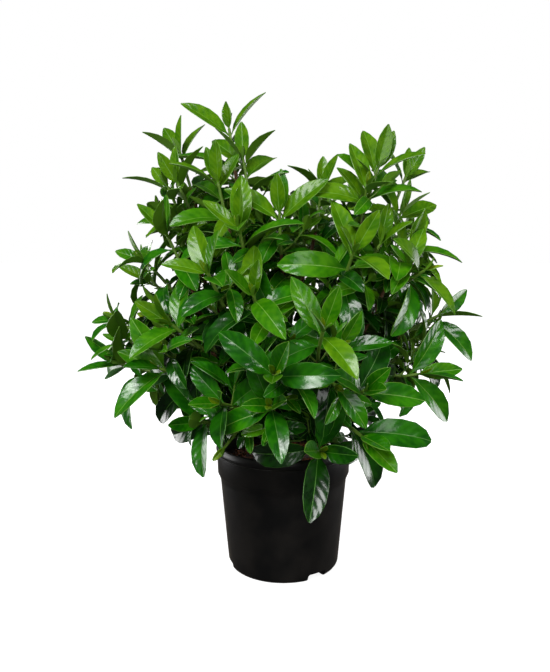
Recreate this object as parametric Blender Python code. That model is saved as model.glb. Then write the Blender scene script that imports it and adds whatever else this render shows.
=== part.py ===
"""Potted laurustinus: an evergreen shrub in a round black nursery pot.

Metres, +Z up, the front is -Y. The origin is the middle of the pot's flat underside.
Every shoot grows by one seeded rule: opposite pairs of leaves, each pair square to the last.
"""

import math
import random
from dataclasses import dataclass, field

import bmesh
import bpy
from mathutils import Matrix, Vector
from mathutils.bvhtree import BVHTree

MM = 0.001
GAP = 0.3 * MM
UP = Vector((0.0, 0.0, 1.0))
FRONT = Vector((0.0, -1.0, 0.0))

# The pot: a standard 190 mm nursery pot with a rolled lip, a collar and three drainage notches,
# whose angles are counted from the front towards the right
POT_HEIGHT = 170 * MM
POT_FOOT_RADIUS = 77.4 * MM
POT_CORNER = 8 * MM
POT_WALL_TOP_RADIUS = 88.7 * MM
POT_WALL_TOP = 122.7 * MM
POT_SHOULDER_RADIUS = 92.5 * MM
POT_SHOULDER_TOP = 131 * MM
POT_COLLAR_RADIUS = 93.8 * MM
POT_COLLAR_TOP = 157.5 * MM
POT_LIP_RADIUS = 95 * MM
POT_LIP_BORE = 88 * MM
POT_WALL = 1.6 * MM
POT_FLOOR = 2.0 * MM
POT_SEGMENTS = 30
POT_LIP_SWELL = (0.2, 0.66)
POT_LIP_ROUND = 3.2 * MM
POT_LIP_INNER = 1.2 * MM
POT_SHARP = 35.0
NOTCH_ANGLES = (36.5, 160.0, -75.0)
NOTCH_WIDTH = 30 * MM
NOTCH_DEPTH = 26 * MM
NOTCH_HEIGHT = 10 * MM

# The soil fills the pot to 20 mm under the rim: it falls a little from a middle to its edge
SOIL_TOP = 150 * MM
SOIL_MIDDLE = 22 * MM
SOIL_EDGE, SOIL_SHOULDER = 4 * MM, 1 * MM
SOIL_RIM = 9 * MM

# The short trunk, hidden in the crown
TRUNK_TOP = 214 * MM
TRUNK_FLARE_RADIUS = 13.5 * MM
TRUNK_RADIUS = 9.5 * MM
TRUNK_TIP_RADIUS = 8.5 * MM
TRUNK_LEAN = 4 * MM
TRUNK_SIDES = 10
LIMB_SHARP = 40.0
# Boughs: name, height where it leaves the trunk (mm), share of the way to its foliage it reaches
BOUGH_START_RADIUS = 5.4 * MM
BOUGH_TIP_RADIUS = 3.3 * MM
BOUGH_SIDES = 6
BOUGH_POINTS = 6
BOUGH_CLEAR = 1.5 * MM
BOUGH_OUT, BOUGH_UP, BOUGH_ARRIVE_UP = 0.8, 0.62, 0.35
BOUGH_TRIES, BOUGH_STRAY = 60, 0.9
BOUGHS = (
    ("centre_top", 214, 0.56),
    ("top_left", 205, 0.60),
    ("left_upper", 190, 0.56),
    ("left_low", 174, 0.56),
    ("front_left", 200, 0.52),
    ("front", 176, 0.50),
    ("front_right", 188, 0.50),
    ("right_upper", 204, 0.56),
    ("right_side", 178, 0.56),
    ("back_right", 186, 0.56),
    ("back_left", 182, 0.56),
    ("back_top", 208, 0.60),
)

# Foliage that shows from the front: name, bough, across, depth and height of the leading
# shoot's tip (mm), length of a full leaf (mm), turn of its leaf pairs (degrees), side shoots
FRONT_FOLIAGE = (
    ("spire", "top_left", -75, -10, 609, 97, 15, 0),
    ("crest_left", "top_left", -145, 10, 577, 82, 60, 1),
    ("right_spire", "right_upper", 125, -50, 549, 88, 170, 1),
    ("right_back", "right_upper", 174, 20, 545, 82, 30, 0),
    ("saddle", "centre_top", 52, -30, 524, 78, 70, 1),
    ("spire_right", "top_left", -54, -40, 563, 84, 150, 0),
    ("arch_left", "top_left", -85, -70, 530, 84, 0, 0),
    ("shoulder_left", "left_upper", -158, -20, 528, 70, 30, 1),
    ("right_upper", "right_upper", 162, -10, 492, 80, 45, 1),
    ("upper_mid", "centre_top", -5, -90, 488, 86, 80, 0),
    ("upper_front", "centre_top", -55, -120, 470, 82, 30, 1),
    ("right_bright", "right_upper", 85, -140, 440, 90, 10, 0),
    ("right_mid", "right_side", 125, -80, 450, 84, 60, 0),
    ("right_arch", "right_side", 166, -60, 448, 92, 0, 1),
    ("left_upper", "left_upper", -155, -60, 465, 80, 75, 0),
    ("left_far", "left_upper", -190, -30, 428, 74, 60, 0),
    ("left_bright", "front_left", -90, -150, 415, 86, 50, 0),
    ("mid_front", "front_left", -35, -170, 390, 84, 35, 1),
    ("left_mid", "front_left", -138, -120, 350, 82, 20, 1),
    ("right_centre", "front_right", 45, -190, 350, 88, 30, 0),
    ("right_low_mid", "front_right", 70, -135, 325, 80, 70, 1),
    ("centre", "front", -10, -210, 305, 98, 70, 0),
    ("right_side", "right_side", 209, -40, 353, 98, 10, 1),
    ("right_low_side", "right_side", 176, -70, 279, 98, 0, 1),
    ("left_side", "left_low", -216, -55, 290, 98, 130, 1),
    ("left_upright", "left_low", -232, -15, 345, 60, 80, 0),
    ("left_low", "left_low", -151, -135, 298, 88, 0, 1),
    ("left_hang", "left_low", -101, -120, 228, 84, 20, 0),
    ("right_front", "front_right", 95, -170, 278, 86, 60, 0),
    ("low_right", "front_right", 92, -170, 224, 101, 115, 0),
    ("pot_front", "front_right", 44, -160, 203, 98, 350, 0),
    ("low_centre", "front", -15, -180, 262, 80, 20, 0),
    ("hang_bright", "front", -75, -150, 258, 78, 30, 1),
)

# Foliage behind: shoots spread by the golden angle over the rest of the crown's outline
BACK_FOLIAGE = 12
BACK_SIDE_SHOOTS = 2
BACK_FROM, BACK_TO = 78.0, 282.0
BACK_LOW, BACK_HIGH = 225 * MM, 545 * MM
BACK_LEAF = 84 * MM
CROWN_RADIUS = 195 * MM
CROWN_MIDDLE = 340 * MM
CROWN_HALF_HEIGHT = 290 * MM
CROWN_CORE = Vector((0.0, 0.0, 300 * MM))
GOLDEN, GOLDEN_START = 0.6180339887, 0.2
BACK_TOP_MASSES = 3
BACK_ROLL = 1.9
SEED = 20

# Twigs
STEM_RADIUS = 2.6 * MM
SHOOT_RADIUS = 2.1 * MM
STEM_POINTS = 5
SIDE_POINTS = 3
SIDE_SHOOT_LENGTH = 78 * MM
STEM_SPACING = 8.5 * MM
STEM_SQUARE, STEM_AHEAD = 0.9, 0.45
STEM_TRIES, STEM_STRAYS = 80, (0.25, 1.2, 0.9)
SIDE_TRIES, SIDE_FROM, SIDE_TO = 24, 0.36, 0.72
SIDE_LEAVE = (1.0, 0.55, 0.25)
SIDE_ARRIVE = (0.7, 0.6, 0.35)
TWIG_CLEAR = 1.3 * MM
STEM_PAIRS = (0, 1, 2, 3)
SIDE_PAIRS = (1, 2)

# How steeply a leading shoot turns up: the usual rise, and the rise of shoots that differ.
# The old leaves of these may hang beside the pot, down to the lower of the two heights
SHOOT_RISE = 0.5
OWN_RISE = {
    "pot_front": 0.85, "low_right": 0.0, "left_hang": 0.9, "left_low": 0.3, "right_side": 0.1,
    "left_far": 0.15,
}
LOWEST_LEAF = 200 * MM
HANGING_LEAF = 128 * MM

# Leaf pairs, counted down from a shoot's tip: distance from the tip (mm on a shoot whose full
# leaf is 80 mm), share of the full length, angle to the shoot and arch of the blade (degrees);
# the spire ends in a bud whose pair is still short
PAIR_STEPS = (2.0, 9.0, 25.0, 50.0)
PAIR_SIZES = (0.66, 0.92, 1.0, 0.94)
PAIR_SPREADS = (18.0, 46.0, 63.0, 72.0)
PAIR_BENDS = (24.0, 56.0, 78.0, 84.0)
PAIR_DRIFTS = (0.16, 7.0, 10.0)
SPIRE_BUD = 0.62
LEAF_TWIST = 0.28
FULL_LEAF = 80 * MM
LEAF_SLENDERNESS = 0.168
LEAF_FOLD = 0.13
LEAF_THICKNESS = 0.013
LEAF_CUTS = ((0.36, 0.93), (0.70, 0.90))
SIMPLE_CUTS = ((0.48, 1.0),)
SIMPLE_PAIRS = (0, 3)
PETIOLE_RADIUS = 0.6 * MM
PETIOLE_DEPTH = 0.75 * MM
ROOT_OFFSET = 0.3 * MM
LEAF_CLEAR = 0.5 * MM
LEAF_TRIES = 9
SHRINK_AFTER = 4
LIGHT_ABOVE, LIGHT_ROUND, LIGHT_FRONT = 0.5, 0.45, 0.45

# Young growth at the top spreads and arches less: where it starts, over what height it takes
# full hold, and the shares that it takes off the spread and the arch
YOUNG_FROM, YOUNG_RANGE = 430 * MM, 150 * MM
YOUNG_SPREAD, YOUNG_BEND = 0.26, 0.30

# How limbs run: ease at both ends as a share of the way, and the search for a seat on a limb
EASE = 0.36
SEAT_REACH, SEAT_STEPS, SEAT_NEAR, SEAT_SPOTS = 40 * MM, 60, 0.004 * MM, 12
POT_CLEAR, POT_CLEAR_SIDES = 3 * MM, 24
FLARE_HEIGHTS = (7 * MM, 20 * MM)

Shape = tuple[list[Vector], list[tuple[int, ...]]]


@dataclass
class Leaf:
    """One leaf: a blade that arches back from its petiole and folds up along its midrib."""

    root: Vector
    along: Vector
    normal: Vector
    length: float
    bend: float
    pair: int = 2

    def place(self, share: float) -> tuple[Vector, Vector, Vector]:
        """Centre, side and normal of the blade.

        Args:
            share: how far along the blade, from 0 at its root to 1 at its tip.

        Returns:
            The midrib's point there, the direction across the blade, and its upper face's normal.
        """
        angle = self.bend * share
        curl = self.bend if abs(self.bend) > 1e-4 else 1e-4
        centre = self.root + self.length * (
            self.along * (math.sin(curl * share) / curl)
            - self.normal * ((1 - math.cos(curl * share)) / curl)
        )
        normal = self.normal * math.cos(angle) + self.along * math.sin(angle)
        return centre, self.along.cross(self.normal), normal

    def solid(self, clear: float = 0.0, start: float = 0.0) -> Shape:
        """A closed blade of few faces: a keeled section at each cut, then the tip.

        Args:
            clear: how much larger than the leaf the shape is, all round. Its sections then have
                five corners, so that the leaf's own edges lie inside.
            start: the share of the length where the shape begins.

        Returns:
            Corners and faces.
        """
        half = self.length * LEAF_SLENDERNESS
        depth = max(self.length * LEAF_THICKNESS, 0.9 * MM)
        shape = SIMPLE_CUTS if self.pair in SIMPLE_PAIRS else LEAF_CUTS
        base = PETIOLE_RADIUS + (shape[0][1] * half - PETIOLE_RADIUS) * start / shape[0][0]
        cuts = [(start, base)] + [(share, width * half) for share, width in shape]
        corners: list[Vector] = []
        for share, width in cuts:
            centre, side, normal = self.place(share)
            thick = PETIOLE_DEPTH if share == 0.0 else depth
            lift, over, out = normal * LEAF_FOLD * width, normal * clear, side * (width + clear)
            ring = [centre + out + lift + over, centre - out + lift + over]
            ring += [centre - out + lift - over] if clear else []
            ring += [centre - normal * thick - over]
            ring += [centre + out + lift - over] if clear else []
            corners += ring
        size = len(ring)
        centre, side, normal = self.place(1.0)
        corners.append(centre + normal.cross(side) * clear)
        faces = [tuple(range(size))]
        last, tip = size * (len(cuts) - 1), size * len(cuts)
        for low in range(0, last, size):
            for k in range(size):
                here, there = low + k, low + (k + 1) % size
                faces.append((here, here + size, there + size))
                faces.append((here, there + size, there))
        for k in range(size):
            faces.append((last + k, tip, last + (k + 1) % size))
        return corners, faces


@dataclass
class Twig:
    """A twig with its leaves: the stem of a mass, or one of its side shoots."""

    path: list[Vector]
    radii: list[float]
    leave: Vector
    pairs: tuple[int, ...] = ()
    leaf_length: float = 0.0
    roll: float = 0.0
    leaves: list[Leaf] = field(default_factory=list)

    def shape(self) -> Shape:
        """Corners and faces of the three-sided twig."""
        return tube(self.path, self.radii, 3, self.leave)

    def length(self) -> float:
        """Length of the twig along its path."""
        return sum((b - a).length for a, b in zip(self.path, self.path[1:]))

    def point(self, from_tip: float) -> tuple[Vector, Vector]:
        """Place and direction on the twig.

        Args:
            from_tip: distance back from the twig's tip.

        Returns:
            The point there and the direction towards the tip.
        """
        left = from_tip
        for near, far in zip(self.path[::-1], self.path[-2::-1]):
            step = (near - far).length
            if left <= step:
                return near.lerp(far, left / step), (near - far).normalized()
            left -= step
        return self.path[0], (self.path[1] - self.path[0]).normalized()


@dataclass
class Mass:
    """One mass of foliage: a stem that meets its bough's tip, and what branches from it."""

    name: str
    bough: str
    tip: Vector
    leaf_length: float
    roll: float
    side_shoots: int
    twigs: list[Twig] = field(default_factory=list)


@dataclass
class Limb:
    """The trunk or a bough: one tapering limb along a path."""

    path: list[Vector]
    radii: list[float]
    sides: int
    leave: Vector

    def shape(self) -> Shape:
        """Corners and faces of the limb."""
        return tube(self.path, self.radii, self.sides, self.leave)


def across(direction: Vector) -> Vector:
    """A level direction square to the given one."""
    level = UP.cross(direction)
    if level.length < 0.05:
        level = Vector((1.0, 0.0, 0.0))
    return (level - direction * level.dot(direction)).normalized()


def tube(path: list[Vector], radii: list[float], sides: int, leave: Vector) -> Shape:
    """A closed tapering tube.

    Args:
        path: the points that its centre follows.
        radii: its radius at each point.
        sides: how many sides it has.
        leave: the direction that its flat start faces away from.

    Returns:
        Corners and faces.
    """
    corners, faces, side = [], [], None
    for index, (centre, radius) in enumerate(zip(path, radii)):
        ahead = (path[min(index + 1, len(path) - 1)] - path[max(index - 1, 0)]).normalized()
        if index == 0:
            ahead = leave
        side = across(ahead) if side is None else (side - ahead * side.dot(ahead)).normalized()
        other = ahead.cross(side)
        for k in range(sides):
            turn = math.tau * k / sides
            corners.append(centre + radius * (side * math.cos(turn) + other * math.sin(turn)))
    for ring in range(len(path) - 1):
        for k in range(sides):
            a, b = ring * sides + k, ring * sides + (k + 1) % sides
            faces.append((a, b, b + sides, a + sides))
    faces.append(tuple(range(sides))[::-1])
    faces.append(tuple((len(path) - 1) * sides + k for k in range(sides)))
    return corners, faces


def swing(start: Vector, leave: Vector, end: Vector, arrive: Vector, count: int) -> list[Vector]:
    """Points along a smooth limb that leaves and arrives in given directions.

    Args:
        start: where the limb starts.
        leave: its direction there.
        end: where the limb ends.
        arrive: its direction there.
        count: how many points to give.

    Returns:
        The points, from start to end.
    """
    reach = EASE * (end - start).length
    first, second = start + leave * reach, end - arrive * reach
    points = []
    for k in range(count):
        t = k / (count - 1)
        s = 1 - t
        points.append(
            start * s**3 + first * (3 * s * s * t) + second * (3 * s * t * t) + end * t**3
        )
    return points


def tree_of(shape: Shape) -> BVHTree:
    """Search tree of a shape, for finding what it touches."""
    return BVHTree.FromPolygons(shape[0], shape[1])


def seat(point: Vector, heading: Vector, radius: float, tree: BVHTree) -> Vector:
    """Slide a limb's flat end along its heading until it is one gap clear of what carries it.

    Args:
        point: a place on the heading's line, inside what carries the limb.
        heading: the direction that the limb leaves in.
        radius: the radius of its flat end.
        tree: search tree of what carries it.

    Returns:
        The middle of the flat end.
    """
    side = across(heading)
    other = heading.cross(side)
    spots = [Vector()] + [
        (side * math.cos(turn) + other * math.sin(turn)) * share
        for share in (radius * 0.5, radius)
        for turn in (math.tau * k / SEAT_SPOTS for k in range(SEAT_SPOTS))
    ]
    point = point + heading * SEAT_REACH
    for _ in range(SEAT_STEPS):
        near = min(tree.find_nearest(point + spot)[3] for spot in spots) - GAP
        if near < SEAT_NEAR:
            break
        point = point - heading * near * 0.9
    return point


def bounds(points: list[Vector]) -> tuple[list[float], list[float]]:
    """Lowest and highest corner of some points."""
    return (
        [min(point[axis] for point in points) for axis in range(3)],
        [max(point[axis] for point in points) for axis in range(3)],
    )


class Space:
    """What stands in the crown already, each with its owner, so that nothing new touches it."""

    def __init__(self) -> None:
        """Start with an empty crown."""
        self.bodies: list[tuple] = []

    def add(self, shape: Shape, owner: str) -> None:
        """Take an owner's shape into the crown."""
        self.bodies.append((owner, bounds(shape[0]), tree_of(shape)))

    def free(self, shape: Shape, skip: str = "", only: str = "") -> bool:
        """Whether a shape touches nothing.

        Args:
            shape: corners and faces of the new shape.
            skip: an owner whose shapes don't count.
            only: the one owner whose shapes count, or none to count them all.

        Returns:
            True if it is clear of them.
        """
        low, high = bounds(shape[0])
        own = tree_of(shape)
        for owner, (floor, roof), tree in self.bodies:
            if owner == skip or (only and owner != only):
                continue
            if all(low[k] <= roof[k] and floor[k] <= high[k] for k in range(3)):
                if own.overlap(tree):
                    return False
        return True


class Shrub:
    """The growing plant: trunk, boughs and masses of foliage, all from the named sizes."""

    def __init__(self) -> None:
        """Plan the masses, and keep the pot's own space free."""
        self.space = Space()
        self.masses = self.plan_masses()
        self.trunk = self.plan_trunk()
        self.boughs: dict[str, Limb] = {}
        heights = (0.0, POT_WALL_TOP, POT_SHOULDER_TOP, POT_HEIGHT + 2 * MM)
        widths = (POT_FOOT_RADIUS, POT_WALL_TOP_RADIUS, POT_SHOULDER_RADIUS, POT_LIP_RADIUS)
        around = [width + POT_CLEAR for width in widths]
        pot = tube([Vector((0, 0, z)) for z in heights], around, POT_CLEAR_SIDES, UP)
        self.space.add(pot, "pot")

    def grow(self) -> None:
        """Grow the limbs, then the twigs, then the leaves."""
        self.grow_boughs()
        self.grow_stems()
        self.grow_side_shoots()
        self.grow_leaves()

    def plan_masses(self) -> list[Mass]:
        """Every mass of foliage: those read from the front, then those behind by rule."""
        masses = [
            Mass(name, bough, Vector((x, y, z)) * MM, leaf * MM, math.radians(roll), sides)
            for name, bough, x, y, z, leaf, roll, sides in FRONT_FOLIAGE
        ]
        for k in range(BACK_FOLIAGE):
            height = BACK_LOW + (BACK_HIGH - BACK_LOW) * (k + 0.5) / BACK_FOLIAGE
            azimuth = BACK_FROM + (BACK_TO - BACK_FROM) * ((k * GOLDEN + GOLDEN_START) % 1.0)
            rise = (height - CROWN_MIDDLE) / CROWN_HALF_HEIGHT
            reach = CROWN_RADIUS * math.sqrt(max(0.05, 1 - rise * rise))
            turn = math.radians(azimuth)
            tip = Vector((reach * math.sin(turn), -reach * math.cos(turn), height))
            bough = "back_right" if azimuth < 180 else "back_left"
            if k >= BACK_FOLIAGE - BACK_TOP_MASSES:
                bough = "back_top"
            masses.append(
                Mass(f"behind_{k + 1}", bough, tip, BACK_LEAF, BACK_ROLL * k, BACK_SIDE_SHOOTS)
            )
        return masses

    def plan_trunk(self) -> Limb:
        """The short trunk: flared at the soil, leaning a little, cut flat at both ends."""
        base = SOIL_TOP + GAP
        flare = base + FLARE_HEIGHTS[0]
        heights = (base, flare, base + FLARE_HEIGHTS[1], TRUNK_TOP)
        middle = 0.5 * (TRUNK_FLARE_RADIUS + TRUNK_RADIUS)
        radii = [TRUNK_FLARE_RADIUS, middle, TRUNK_RADIUS, TRUNK_TIP_RADIUS]
        lean = [max(0.0, z - flare) / (TRUNK_TOP - flare) for z in heights]
        path = [Vector((TRUNK_LEAN * share, 0.0, z)) for share, z in zip(lean, heights)]
        return Limb(path, radii, TRUNK_SIDES, UP)

    def grow_boughs(self) -> None:
        """The boughs: each one tapering limb from the trunk to the middle of its foliage."""
        trunk_tree = tree_of(self.trunk.shape())
        self.space.add(self.trunk.shape(), "trunk")
        fork = self.trunk.path[-1]
        for order, (name, leave_height, share) in enumerate(BOUGHS):
            tips = [mass.tip for mass in self.masses if mass.bough == name]
            tip = fork + (sum(tips, Vector()) / len(tips) - fork) * share
            out = Vector((tip.x - fork.x, tip.y - fork.y, 0.0)).normalized()
            arrive = ((tip - fork).normalized() + BOUGH_ARRIVE_UP * UP).normalized()
            draw = random.Random(SEED + order)
            for attempt in range(BOUGH_TRIES):
                leave, start = UP.copy(), fork.copy()
                if leave_height * MM < TRUNK_TOP:
                    stray = draw.uniform(-BOUGH_STRAY, BOUGH_STRAY) * attempt / BOUGH_TRIES
                    turned = Matrix.Rotation(stray, 3, "Z") @ out
                    leave = (turned * BOUGH_OUT + UP * BOUGH_UP).normalized()
                    start = Vector((fork.x * 0.5, 0.0, leave_height * MM))
                start = seat(start, leave, BOUGH_START_RADIUS, trunk_tree)
                path = swing(start, leave, tip, arrive, BOUGH_POINTS)
                radii = [
                    BOUGH_START_RADIUS
                    + (BOUGH_TIP_RADIUS - BOUGH_START_RADIUS) * k / (BOUGH_POINTS - 1)
                    for k in range(BOUGH_POINTS)
                ]
                limb = Limb(path, radii, BOUGH_SIDES, leave)
                wide = tube(path, [r + BOUGH_CLEAR for r in radii], BOUGH_SIDES, leave)
                if self.space.free(wide, skip="trunk") and self.space.free(limb.shape()):
                    break
            self.boughs[name] = limb
            self.space.add(limb.shape(), f"bough_{name}")

    def grow_stems(self) -> None:
        """The stem of each mass, from its bough's tip to its leading shoot's tip."""
        for name, limb in self.boughs.items():
            tree = tree_of(limb.shape())
            guide = Twig(limb.path, limb.radii, limb.leave)
            group = [mass for mass in self.masses if mass.bough == name]
            end, ahead = guide.point(0.0)
            group.sort(key=lambda mass: -(mass.tip - end).normalized().dot(ahead))
            for order, mass in enumerate(group):
                back = 0.0 if order == 0 else STEM_SPACING * (order - 0.4)
                stem = self.find_stem(mass, order, guide.point(back), tree)
                mass.twigs.append(stem)
                self.space.add(stem.shape(), mass.name)

    def find_stem(
        self, mass: Mass, order: int, foot: tuple[Vector, Vector], tree: BVHTree
    ) -> Twig:
        """A stem for a mass that is clear of all other limbs.

        Args:
            mass: the mass that it carries.
            order: 0 for the stem that goes on from the bough's end, more for those beside it.
            foot: place and direction on the bough where the stem starts.
            tree: search tree of the bough.

        Returns:
            The stem.
        """
        draw = random.Random(SEED * 7 + self.masses.index(mass))
        base, ahead = foot
        aim = (mass.tip - base).normalized()
        rise = OWN_RISE.get(mass.name, SHOOT_RISE)
        arrive = ((mass.tip - CROWN_CORE).normalized() + rise * UP).normalized()
        radii = [
            STEM_RADIUS + (SHOOT_RADIUS - STEM_RADIUS) * k / (STEM_POINTS - 1)
            for k in range(STEM_POINTS)
        ]
        for attempt in range(STEM_TRIES):
            stray = Vector([draw.uniform(-1, 1) for _ in range(3)]) * (attempt / STEM_TRIES)
            leave = (ahead + STEM_STRAYS[0] * stray).normalized()
            if order:
                square = aim - ahead * aim.dot(ahead) + STEM_STRAYS[1] * stray
                square = (square - ahead * square.dot(ahead)).normalized()
                leave = (square * STEM_SQUARE + ahead * STEM_AHEAD).normalized()
            start = seat(base, leave, STEM_RADIUS, tree)
            heading = (arrive + STEM_STRAYS[2] * stray).normalized()
            path = swing(start, leave, mass.tip, heading, STEM_POINTS)
            stem = Twig(path, radii, leave, STEM_PAIRS, mass.leaf_length, mass.roll)
            wide = tube(path[1:], [r + TWIG_CLEAR for r in radii[1:]], 3, stem.point(0.0)[1])
            bare = tube(path[:2], [r + 0.1 * MM for r in radii[:2]], 3, leave)
            if self.space.free(wide) and self.space.free(bare, skip="pot"):
                break
        return stem

    def grow_side_shoots(self) -> None:
        """Side shoots: each leaves its mass's stem at an angle and turns up to the light."""
        for index, mass in enumerate(self.masses):
            draw = random.Random(SEED * 13 + index)
            for _ in range(mass.side_shoots):
                for _ in range(SIDE_TRIES):
                    shoot = self.side_shoot(mass, mass.twigs[0], draw)
                    if shoot is not None:
                        mass.twigs.append(shoot)
                        self.space.add(shoot.shape(), mass.name)
                        break

    def side_shoot(self, mass: Mass, stem: Twig, draw: random.Random) -> Twig | None:
        """One side shoot, tried once.

        Args:
            mass: the mass that it belongs to.
            stem: the twig that it grows from.
            draw: the seeded source of its place and turn.

        Returns:
            The shoot, or None where it would touch something or hang too low.
        """
        base, ahead = stem.point(stem.length() * draw.uniform(SIDE_FROM, SIDE_TO))
        turn = draw.uniform(0, math.tau)
        side = across(ahead)
        out = side * math.cos(turn) + ahead.cross(side) * math.sin(turn)
        outward = (base - CROWN_CORE).normalized()
        first, second, third = SIDE_LEAVE
        leave = (first * out + second * ahead + third * outward).normalized()
        first, second, third = SIDE_ARRIVE
        arrive = (first * leave + second * outward + third * UP).normalized()
        length = SIDE_SHOOT_LENGTH * draw.uniform(0.75, 1.2)
        end = base + (leave + arrive).normalized() * length
        size = mass.leaf_length * draw.uniform(0.80, 1.0)
        path = swing(base, leave, end, arrive, SIDE_POINTS)
        radii = [SHOOT_RADIUS * (1.1 - 0.1 * j) for j in range(SIDE_POINTS)]
        if end.z < LOWEST_LEAF:
            return None
        shoot = Twig(path, radii, leave, SIDE_PAIRS, size, turn)
        wide = tube(path[1:], [r + TWIG_CLEAR for r in radii[1:]], 3, shoot.point(0.0)[1])
        foot = tube(path[:2], [r + 0.8 * MM for r in radii[:2]], 3, leave)
        if self.space.free(wide) and self.space.free(foot, skip=mass.name):
            return shoot
        return None

    def grow_leaves(self) -> None:
        """Leaves in opposite pairs from the tips down; one that would touch anything is left out."""
        for pair in range(len(PAIR_STEPS)):
            for index, mass in enumerate(self.masses):
                for number, twig in enumerate(mass.twigs):
                    if pair in twig.pairs:
                        seed = SEED * 101 + index * 613 + number * 37 + pair * 5
                        self.grow_pair(mass, twig, pair, seed)

    def grow_pair(self, mass: Mass, twig: Twig, pair: int, seed: int) -> None:
        """One opposite pair of leaves.

        Args:
            mass: the mass that the twig belongs to.
            twig: the twig that bears them.
            pair: which pair it is, counted from the twig's tip.
            seed: the seed of the pair's small differences.
        """
        lowest = HANGING_LEAF if mass.name in OWN_RISE else LOWEST_LEAF
        if PAIR_STEPS[pair] * MM > twig.length() - 12 * MM:
            return
        for which in (0, 1):
            draw = random.Random(seed + which)
            for attempt in range(LEAF_TRIES):
                leaf = self.leaf_at(twig, pair, which, draw)
                if attempt > SHRINK_AFTER:
                    leaf.length *= 0.8
                if pair == 0 and mass.name == "spire":
                    leaf.length *= SPIRE_BUD
                blade = leaf.solid(LEAF_CLEAR, 0.16)
                if min(corner.z for corner in blade[0]) < lowest:
                    continue
                if not self.space.free(blade, only=mass.name):
                    continue
                if not self.space.free(leaf.solid(LEAF_CLEAR), skip=mass.name):
                    continue
                twig.leaves.append(leaf)
                self.space.add(leaf.solid(), mass.name)
                break

    def leaf_at(self, twig: Twig, pair: int, which: int, draw: random.Random) -> Leaf:
        """One leaf of a pair: its spread, arch and size follow from its age on the shoot.

        Args:
            twig: the twig that bears it.
            pair: which pair it is in, counted from the twig's tip.
            which: 0 or 1 for the two sides of the twig.
            draw: the seeded source of its small differences.

        Returns:
            The leaf, not yet tested for room.
        """
        root, ahead = twig.point(PAIR_STEPS[pair] * MM * twig.leaf_length / FULL_LEAF)
        side = across(ahead)
        turn_drift, spread_drift, bend_drift = PAIR_DRIFTS
        turn = twig.roll + math.pi * which + math.pi / 2 * pair + draw.gauss(0, turn_drift)
        out = side * math.cos(turn) + ahead.cross(side) * math.sin(turn)
        young = min(1.0, max(0.0, (twig.path[-1].z - YOUNG_FROM) / YOUNG_RANGE))
        spread = math.radians(PAIR_SPREADS[pair] + draw.gauss(0, spread_drift))
        spread *= 1 - YOUNG_SPREAD * young
        along = (ahead * math.cos(spread) + out * math.sin(spread)).normalized()
        round_crown = Vector((root.x, root.y, 0.0)) / CROWN_RADIUS
        light = ahead + LIGHT_ABOVE * UP + LIGHT_ROUND * round_crown + LIGHT_FRONT * FRONT
        normal = (light - along * light.dot(along)).normalized()
        normal = Matrix.Rotation(draw.gauss(0, LEAF_TWIST), 3, along) @ normal
        bend = math.radians(PAIR_BENDS[pair] + draw.gauss(0, bend_drift))
        bend *= (1.15 - 0.4 * abs(along.z)) * (1 - YOUNG_BEND * young)
        length = twig.leaf_length * PAIR_SIZES[pair] * draw.uniform(0.9, 1.08)
        return Leaf(root + out * ROOT_OFFSET, along, normal, length, bend, pair)


def material(name: str, colour: tuple[float, float, float], roughness: float) -> bpy.types.Material:
    """A plain Principled material."""
    made = bpy.data.materials.new(name)
    made.use_nodes = True
    shader = made.node_tree.nodes["Principled BSDF"]
    shader.inputs["Base Color"].default_value = (*colour, 1.0)
    shader.inputs["Roughness"].default_value = roughness
    shader.inputs["Metallic"].default_value = 0.0
    made.diffuse_color = (*colour, 1.0)
    return made


def new_object(name, shape, made, smooth=False, collection=None):
    """An object from corners and faces, its normals facing out."""
    mesh = bpy.data.meshes.new(name)
    mesh.from_pydata([tuple(corner) for corner in shape[0]], [], shape[1])
    shell = bmesh.new()
    shell.from_mesh(mesh)
    bmesh.ops.recalc_face_normals(shell, faces=shell.faces)
    shell.to_mesh(mesh)
    shell.free()
    mesh.materials.append(made)
    if smooth:
        mesh.shade_smooth()
        mesh.set_sharp_from_angle(angle=math.radians(LIMB_SHARP))
    thing = bpy.data.objects.new(name, mesh)
    (collection or bpy.context.scene.collection).objects.link(thing)
    return thing


def revolve(name, profile, segments, made):
    """A turned solid from a profile of (radius, height) that starts and ends on the axis."""
    shell = bmesh.new()
    points = [shell.verts.new((radius, 0.0, height)) for radius, height in profile]
    edges = [shell.edges.new(pair) for pair in zip(points, points[1:])]
    bmesh.ops.spin(
        shell, geom=points + edges, cent=(0, 0, 0), axis=(0, 0, 1), angle=math.tau,
        steps=segments, use_merge=True,
    )
    bmesh.ops.remove_doubles(shell, verts=shell.verts, dist=1e-6)
    bmesh.ops.recalc_face_normals(shell, faces=shell.faces)
    mesh = bpy.data.meshes.new(name)
    shell.to_mesh(mesh)
    shell.free()
    mesh.materials.append(made)
    mesh.shade_smooth()
    mesh.set_sharp_from_angle(angle=math.radians(POT_SHARP))
    thing = bpy.data.objects.new(name, mesh)
    bpy.context.scene.collection.objects.link(thing)
    return thing


def corner_arc(radius, height, corner, steps):
    """Points round the pot's bottom corner, from its flat underside to its wall."""
    return [
        (radius - corner + corner * math.sin(math.pi / 2 * k / steps),
         height + corner - corner * math.cos(math.pi / 2 * k / steps))
        for k in range(steps + 1)
    ]


def pot_inside(clear):
    """The pot's inner outline from its floor to its collar, moved inwards by a clearance."""
    inset = POT_WALL + clear
    foot = corner_arc(POT_FOOT_RADIUS - inset, POT_FLOOR + clear, POT_CORNER - POT_WALL, 2)
    return [(0.0, POT_FLOOR + clear)] + foot + [
        (POT_WALL_TOP_RADIUS - inset, POT_WALL_TOP),
        (POT_SHOULDER_RADIUS - inset, POT_SHOULDER_TOP),
    ]


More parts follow.
